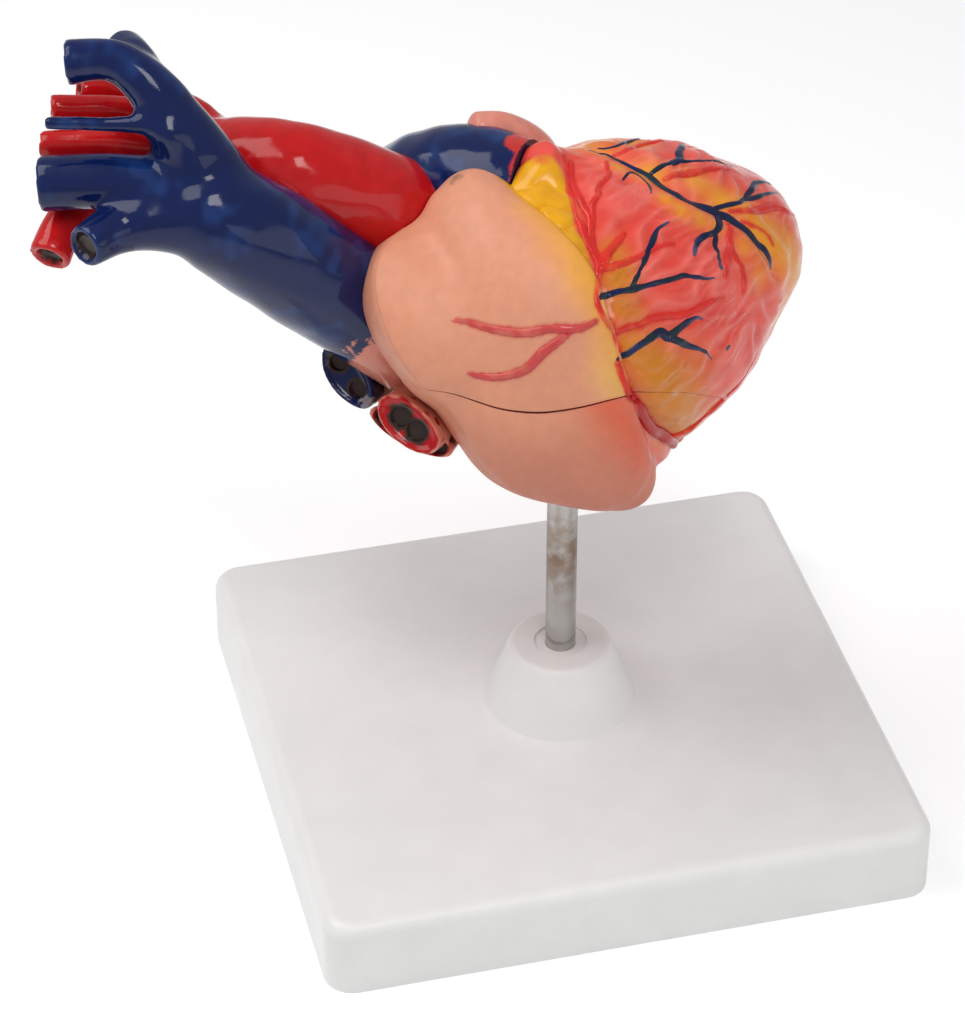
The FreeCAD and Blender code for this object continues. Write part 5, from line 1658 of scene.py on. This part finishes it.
casting_paint = painted_finish("casting_paint", 0.46, 0.17, 0.000014, 0.04)
vessel_enamel = painted_finish("vessel_enamel", 0.35, 0.1, 0.000012, 0.07, 0.36)
line_enamel = painted_finish("line_enamel", 0.35, 0.16, 0.00001, 0.1)
print("painted finishes: 3")

# %% [markdown]
# Bare vinyl, plastic and metal are even in colour. Two close tones, a little play in the roughness
# and a very fine ripple keep them from looking flat.

# %% Plain finishes


def plain_finish(name, colour, patch, rough, ripple, metal=0.0, size=3.0):
    """Even material: two close colours mixed by noise, rough from a range, and a fine ripple."""
    made, tree, shader, coords = new_material(name)
    factor = ranged(tree, noise(tree, coords, size, 4.0, (-900, 250)), 0.35, 0.7, 0.0, 1.0,
                    (-700, 250))
    both = mixed(tree, "MIX", factor, (*srgb(*colour), 1), (*srgb(*patch), 1), (-400, 250))
    tree.links.new(both, shader.inputs["Base Color"])
    spread = ranged(tree, noise(tree, coords, size * 1.7, 3.0, (-900, -150)), 0.3, 0.7, *rough,
                    (-700, -150))
    tree.links.new(spread, shader.inputs["Roughness"])
    shader.inputs["Metallic"].default_value = metal
    rippled(tree, shader, coords, 0.7, 3.0, ripple)
    return made


PLAIN = {name: plain_finish(name, *numbers) for name, *numbers in (
    ("parting_face", (226, 150, 128), (214, 128, 108), (0.4, 0.55), 0.00001),
    ("chamber_muscle", (196, 66, 58), (170, 40, 38), (0.25, 0.4), 0.00002),
    ("white_plastic", (243, 243, 242), (239, 239, 238), (0.3, 0.4), 0.000004, 0.0, 12.0),
    ("polished_steel", (196, 193, 188), (170, 160, 148), (0.2, 0.34), 0.000003, 1.0, 2.0),
    ("valve_cream", (240, 214, 176), (226, 190, 150), (0.35, 0.5), 0.00001),
    ("bright_nickel", (205, 205, 202), (185, 183, 178), (0.15, 0.28), 0.000003, 1.0),
    ("chamber_cord", (238, 214, 190), (224, 180, 150), (0.35, 0.5), 0.00001))}
print("plain finishes:", len(PLAIN))

# %% [markdown]
# Cutting left three kinds of surface on the castings: the painted outside, the flat parting faces,
# which show the bare pink vinyl, and the chambers, painted dark red. Each face finds its kind by
# where it lies, and the edges between kinds, and any other hard edges, are kept sharp.

# %% Faces sorted by kind
SKIN_NEAR, PLANE_NEAR = 0.9, 0.02


def face_numbers(piece):
    """Centres and normals of all faces, in heart millimetres."""
    count = len(piece.data.polygons)
    centre, normal = np.empty(count * 3, np.float32), np.empty(count * 3, np.float32)
    piece.data.polygons.foreach_get("center", centre)
    piece.data.polygons.foreach_get("normal", normal)
    return to_heart(centre.reshape(-1, 3)), normal.reshape(-1, 3) @ TURN


def keep_hard_edges(piece, kinds, degrees):
    """Marks edges sharp where two kinds meet or the faces turn by more than so many degrees."""
    mesh = piece.data
    _, normal = face_numbers(piece)
    edge_of = np.empty(len(mesh.loops), np.int32)
    mesh.loops.foreach_get("edge_index", edge_of)
    sizes = np.empty(len(mesh.polygons), np.int32)
    mesh.polygons.foreach_get("loop_total", sizes)
    face_of = np.repeat(np.arange(len(mesh.polygons)), sizes)
    order = np.argsort(edge_of, kind="stable")
    edge, face = edge_of[order], face_of[order]
    pair = np.flatnonzero(edge[1:] == edge[:-1])
    one, two = face[pair], face[pair + 1]
    turned = np.einsum("ij,ij->i", normal[one], normal[two]) < math.cos(math.radians(degrees))
    hard = turned | (kinds[one] != kinds[two])
    marks = np.zeros(len(mesh.edges), bool)
    marks[edge[pair[hard]]] = True
    sharp = mesh.attributes.get("sharp_edge")
    sharp = sharp or mesh.attributes.new("sharp_edge", "BOOLEAN", "EDGE")
    sharp.data.foreach_set("value", marks)
    return int(marks.sum())


def kinds_of_face(piece):
    """0 painted skin, 1 flat parting face, 2 chamber."""
    centre, normal = face_numbers(piece)
    off = np.linalg.norm(centre - to_skin(centre), axis=1)
    kinds = np.where(off < SKIN_NEAR, 0, 2)
    planes = ((RIDGE_AT, RIDGE_WAY), (ROOT_AT, ROOT_WAY), (ATRIUM_AT + FACE * STEP_DEPTH, FACE))
    for at, out in planes:
        away = (centre - at) @ out
        apart = np.min([np.abs(away + SEAM_GAP * share) for share in (0, 1, RIDGE_SHARE)], axis=0)
        kinds[(apart < PLANE_NEAR) & (np.abs(normal @ out) > 0.999)] = 1
    seam = above_seam(centre)
    kinds[(seam < 0.06) & (seam > -0.9) & (np.abs(normal @ LID_UP) > 0.9) & (off > 0.1)] = 1
    return kinds


for piece in (front_wall, rear_casting):
    kinds = kinds_of_face(piece)
    for material in (casting_paint, PLAIN["parting_face"], PLAIN["chamber_muscle"]):
        piece.data.materials.append(material)
    piece.data.polygons.foreach_set("material_index", kinds.astype(np.int32))
    shade_smooth(piece)
    sharp = keep_hard_edges(piece, kinds, 38.0)
    print(piece.name, "faces by kind:", np.bincount(kinds), "sharp:", sharp)
for piece in (great_veins, great_arteries, trunk, lung_artery, lung_veins, lower_cava,
              left_lung_veins, auricle):
    piece.data.materials.append(vessel_enamel)
    shade_smooth(piece)
    keep_hard_edges(piece, np.zeros(len(piece.data.polygons), int), 48.0)
for piece in (front_veins, rear_veins, front_arteries, rear_arteries):
    piece.data.materials.append(vessel_enamel if piece is rear_arteries else line_enamel)

# %% [markdown]
# Parts that the CAD shapes right keep their solids and only get a finish here.

# %% Finishes of the other parts


def tarnished_rod():
    """Nickel rod: bright, with a brownish tarnish round its middle, by height and noise."""
    made, tree, shader, coords = new_material("tarnished_nickel")
    split = node(tree, "ShaderNodeSeparateXYZ", (-900, 350))
    tree.links.new(coords, split.inputs[0])
    height = split.outputs["Z"]
    rise = ranged(tree, height, 0.045, 0.066, 0.0, 1.0, (-700, 450))
    fall = ranged(tree, height, 0.066, 0.086, 1.0, 0.0, (-700, 250))
    cloud = ranged(tree, noise(tree, coords, 4.0, 5.0, (-900, 50)), 0.35, 0.6, 0.2, 1.0, (-700, 50))
    patch = maths(tree, "MULTIPLY", (rise, fall), (-500, 400))
    patch = maths(tree, "MULTIPLY", (patch, cloud), (-350, 400))
    bright, brown = (*srgb(186, 184, 182), 1), (*srgb(140, 116, 98), 1)
    tree.links.new(mixed(tree, "MIX", patch, bright, brown, (-200, 300)),
                   shader.inputs["Base Color"])
    shader.inputs["Metallic"].default_value = 1.0
    tree.links.new(ranged(tree, patch, 0.0, 1.0, 0.2, 0.42, (-200, 0)), shader.inputs["Roughness"])
    rippled(tree, shader, coords, 0.8, 3.0, 0.000003)
    return made


FINISH_OF = {"white_plastic": ("base_slab", "stand_collar"),
             "polished_steel": ("collar_screws", "rod_socket"),
             "chamber_muscle": ("septum", "left_papillary_muscles", "right_papillary_muscles"),
             "valve_cream": ("tricuspid_valve", "mitral_valve", "aortic_valve", "pulmonary_valve"),
             "chamber_cord": ("left_chordae", "right_chordae"),
             "bright_nickel": ("rear_magnets", "front_magnets")}
finished = [("support_rod", tarnished_rod())]
finished += [(name, PLAIN[finish]) for finish, names in FINISH_OF.items() for name in names]
for name, finish in finished:
    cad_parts[name].data.materials.clear()
    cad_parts[name].data.materials.append(finish)
print("finished CAD parts:", len(finished))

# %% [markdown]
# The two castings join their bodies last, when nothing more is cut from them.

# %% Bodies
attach(front_wall, "front_wall")
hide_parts("front_shell")
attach(rear_casting, "heart")
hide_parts("rear_wall")

# %% [markdown]
# The studio is a white table under soft boxes. The table is seen by the camera, and in glossy
# reflections, a little brighter than it is lit, so that it runs out to white, while the object's
# shadow on it stays. A large box hangs high on the left, a smaller one high in front, and a low
# wide one fills in from the right.

# %% Floor and light
TABLE_LIFT, WORLD_LIGHT = 0.36, 0.41
floor = to_object("floor", block((-1500, -1500, -2.0), (3000, 0, 0), (0, 3000, 0), (0, 0, 2.0)))


def white_table():
    """White surface with some light of its own for camera, glossy and transmission rays."""
    made, tree, shader, _ = new_material("white_table")
    shader.inputs["Base Color"].default_value = (0.86, 0.86, 0.86, 1)
    shader.inputs["Roughness"].default_value = 0.6
    shader.inputs["Emission Color"].default_value = (1, 1, 1, 1)
    path = node(tree, "ShaderNodeLightPath", (-900, 0))
    total = path.outputs["Is Camera Ray"]
    for k, name in enumerate(("Is Glossy Ray", "Is Transmission Ray")):
        total = maths(tree, "MAXIMUM", (total, path.outputs[name]), (-700 + 180 * k, 0))
    tree.links.new(ranged(tree, total, 0.0, 1.0, 0.0, TABLE_LIFT, (-300, 0)),
                   shader.inputs["Emission Strength"])
    return made


floor.data.materials.append(white_table())
world = bpy.data.worlds.new("studio")
bpy.context.scene.world = world
world.use_nodes = True
world.node_tree.nodes["Background"].inputs["Color"].default_value = (1, 1, 1, 1)
world.node_tree.nodes["Background"].inputs["Strength"].default_value = WORLD_LIGHT


def lamp(name, place, aim, size, power):
    """Rectangular soft box at place, facing aim."""
    light = bpy.data.lights.new(name, "AREA")
    light.shape, light.size, light.size_y, light.energy = "RECTANGLE", *size, power
    box = bpy.data.objects.new(name, light)
    bpy.context.scene.collection.objects.link(box)
    way = Vector(aim) - Vector(place)
    turned = way.to_track_quat("-Z", "Y").to_matrix().to_4x4()
    box.matrix_world = Matrix.Translation(place) @ turned


LAMPS = (("soft_box_left", (-0.64, 0.2, 1.0), (-0.03, 0, 0.15), (0.85, 0.75), 5.8),
         ("soft_box_front", (-0.04, -0.62, 1.15), (-0.03, 0, 0.15), (0.34, 0.5), 3.7),
         ("soft_box_low", (0.5, -0.86, 0.36), (-0.03, 0, 0.16), (1.1, 0.42), 1.2))
for numbers in LAMPS:
    lamp(*numbers)
print("soft boxes:", len(LAMPS))

# %% [markdown]
# The camera has a long lens and looks down on the model from the front, a little from the left.

# %% Camera
CAMERA_AT, CAMERA_TURN, CAMERA_RISE = (-0.2036, -0.7368, 0.6504), -14.0, 36.9
LENS_MM, SENSOR_MM = 138.97, 36.0
camera_data = bpy.data.cameras.new("camera")
camera = bpy.data.objects.new("camera", camera_data)
bpy.context.scene.collection.objects.link(camera)
bpy.context.scene.camera = camera
camera_data.lens, camera_data.sensor_width = LENS_MM, SENSOR_MM
azimuth, elevation = math.radians(CAMERA_TURN), math.radians(CAMERA_RISE)
back = Vector((math.sin(azimuth) * math.cos(elevation), -math.cos(azimuth) * math.cos(elevation),
               math.sin(elevation)))
camera.location = CAMERA_AT
camera.rotation_mode = "QUATERNION"
camera.rotation_quaternion = (-back).to_track_quat("-Z", "Y")
bpy.context.scene.view_settings.view_transform = "Standard"
print("lens:", camera_data.lens, "mm")
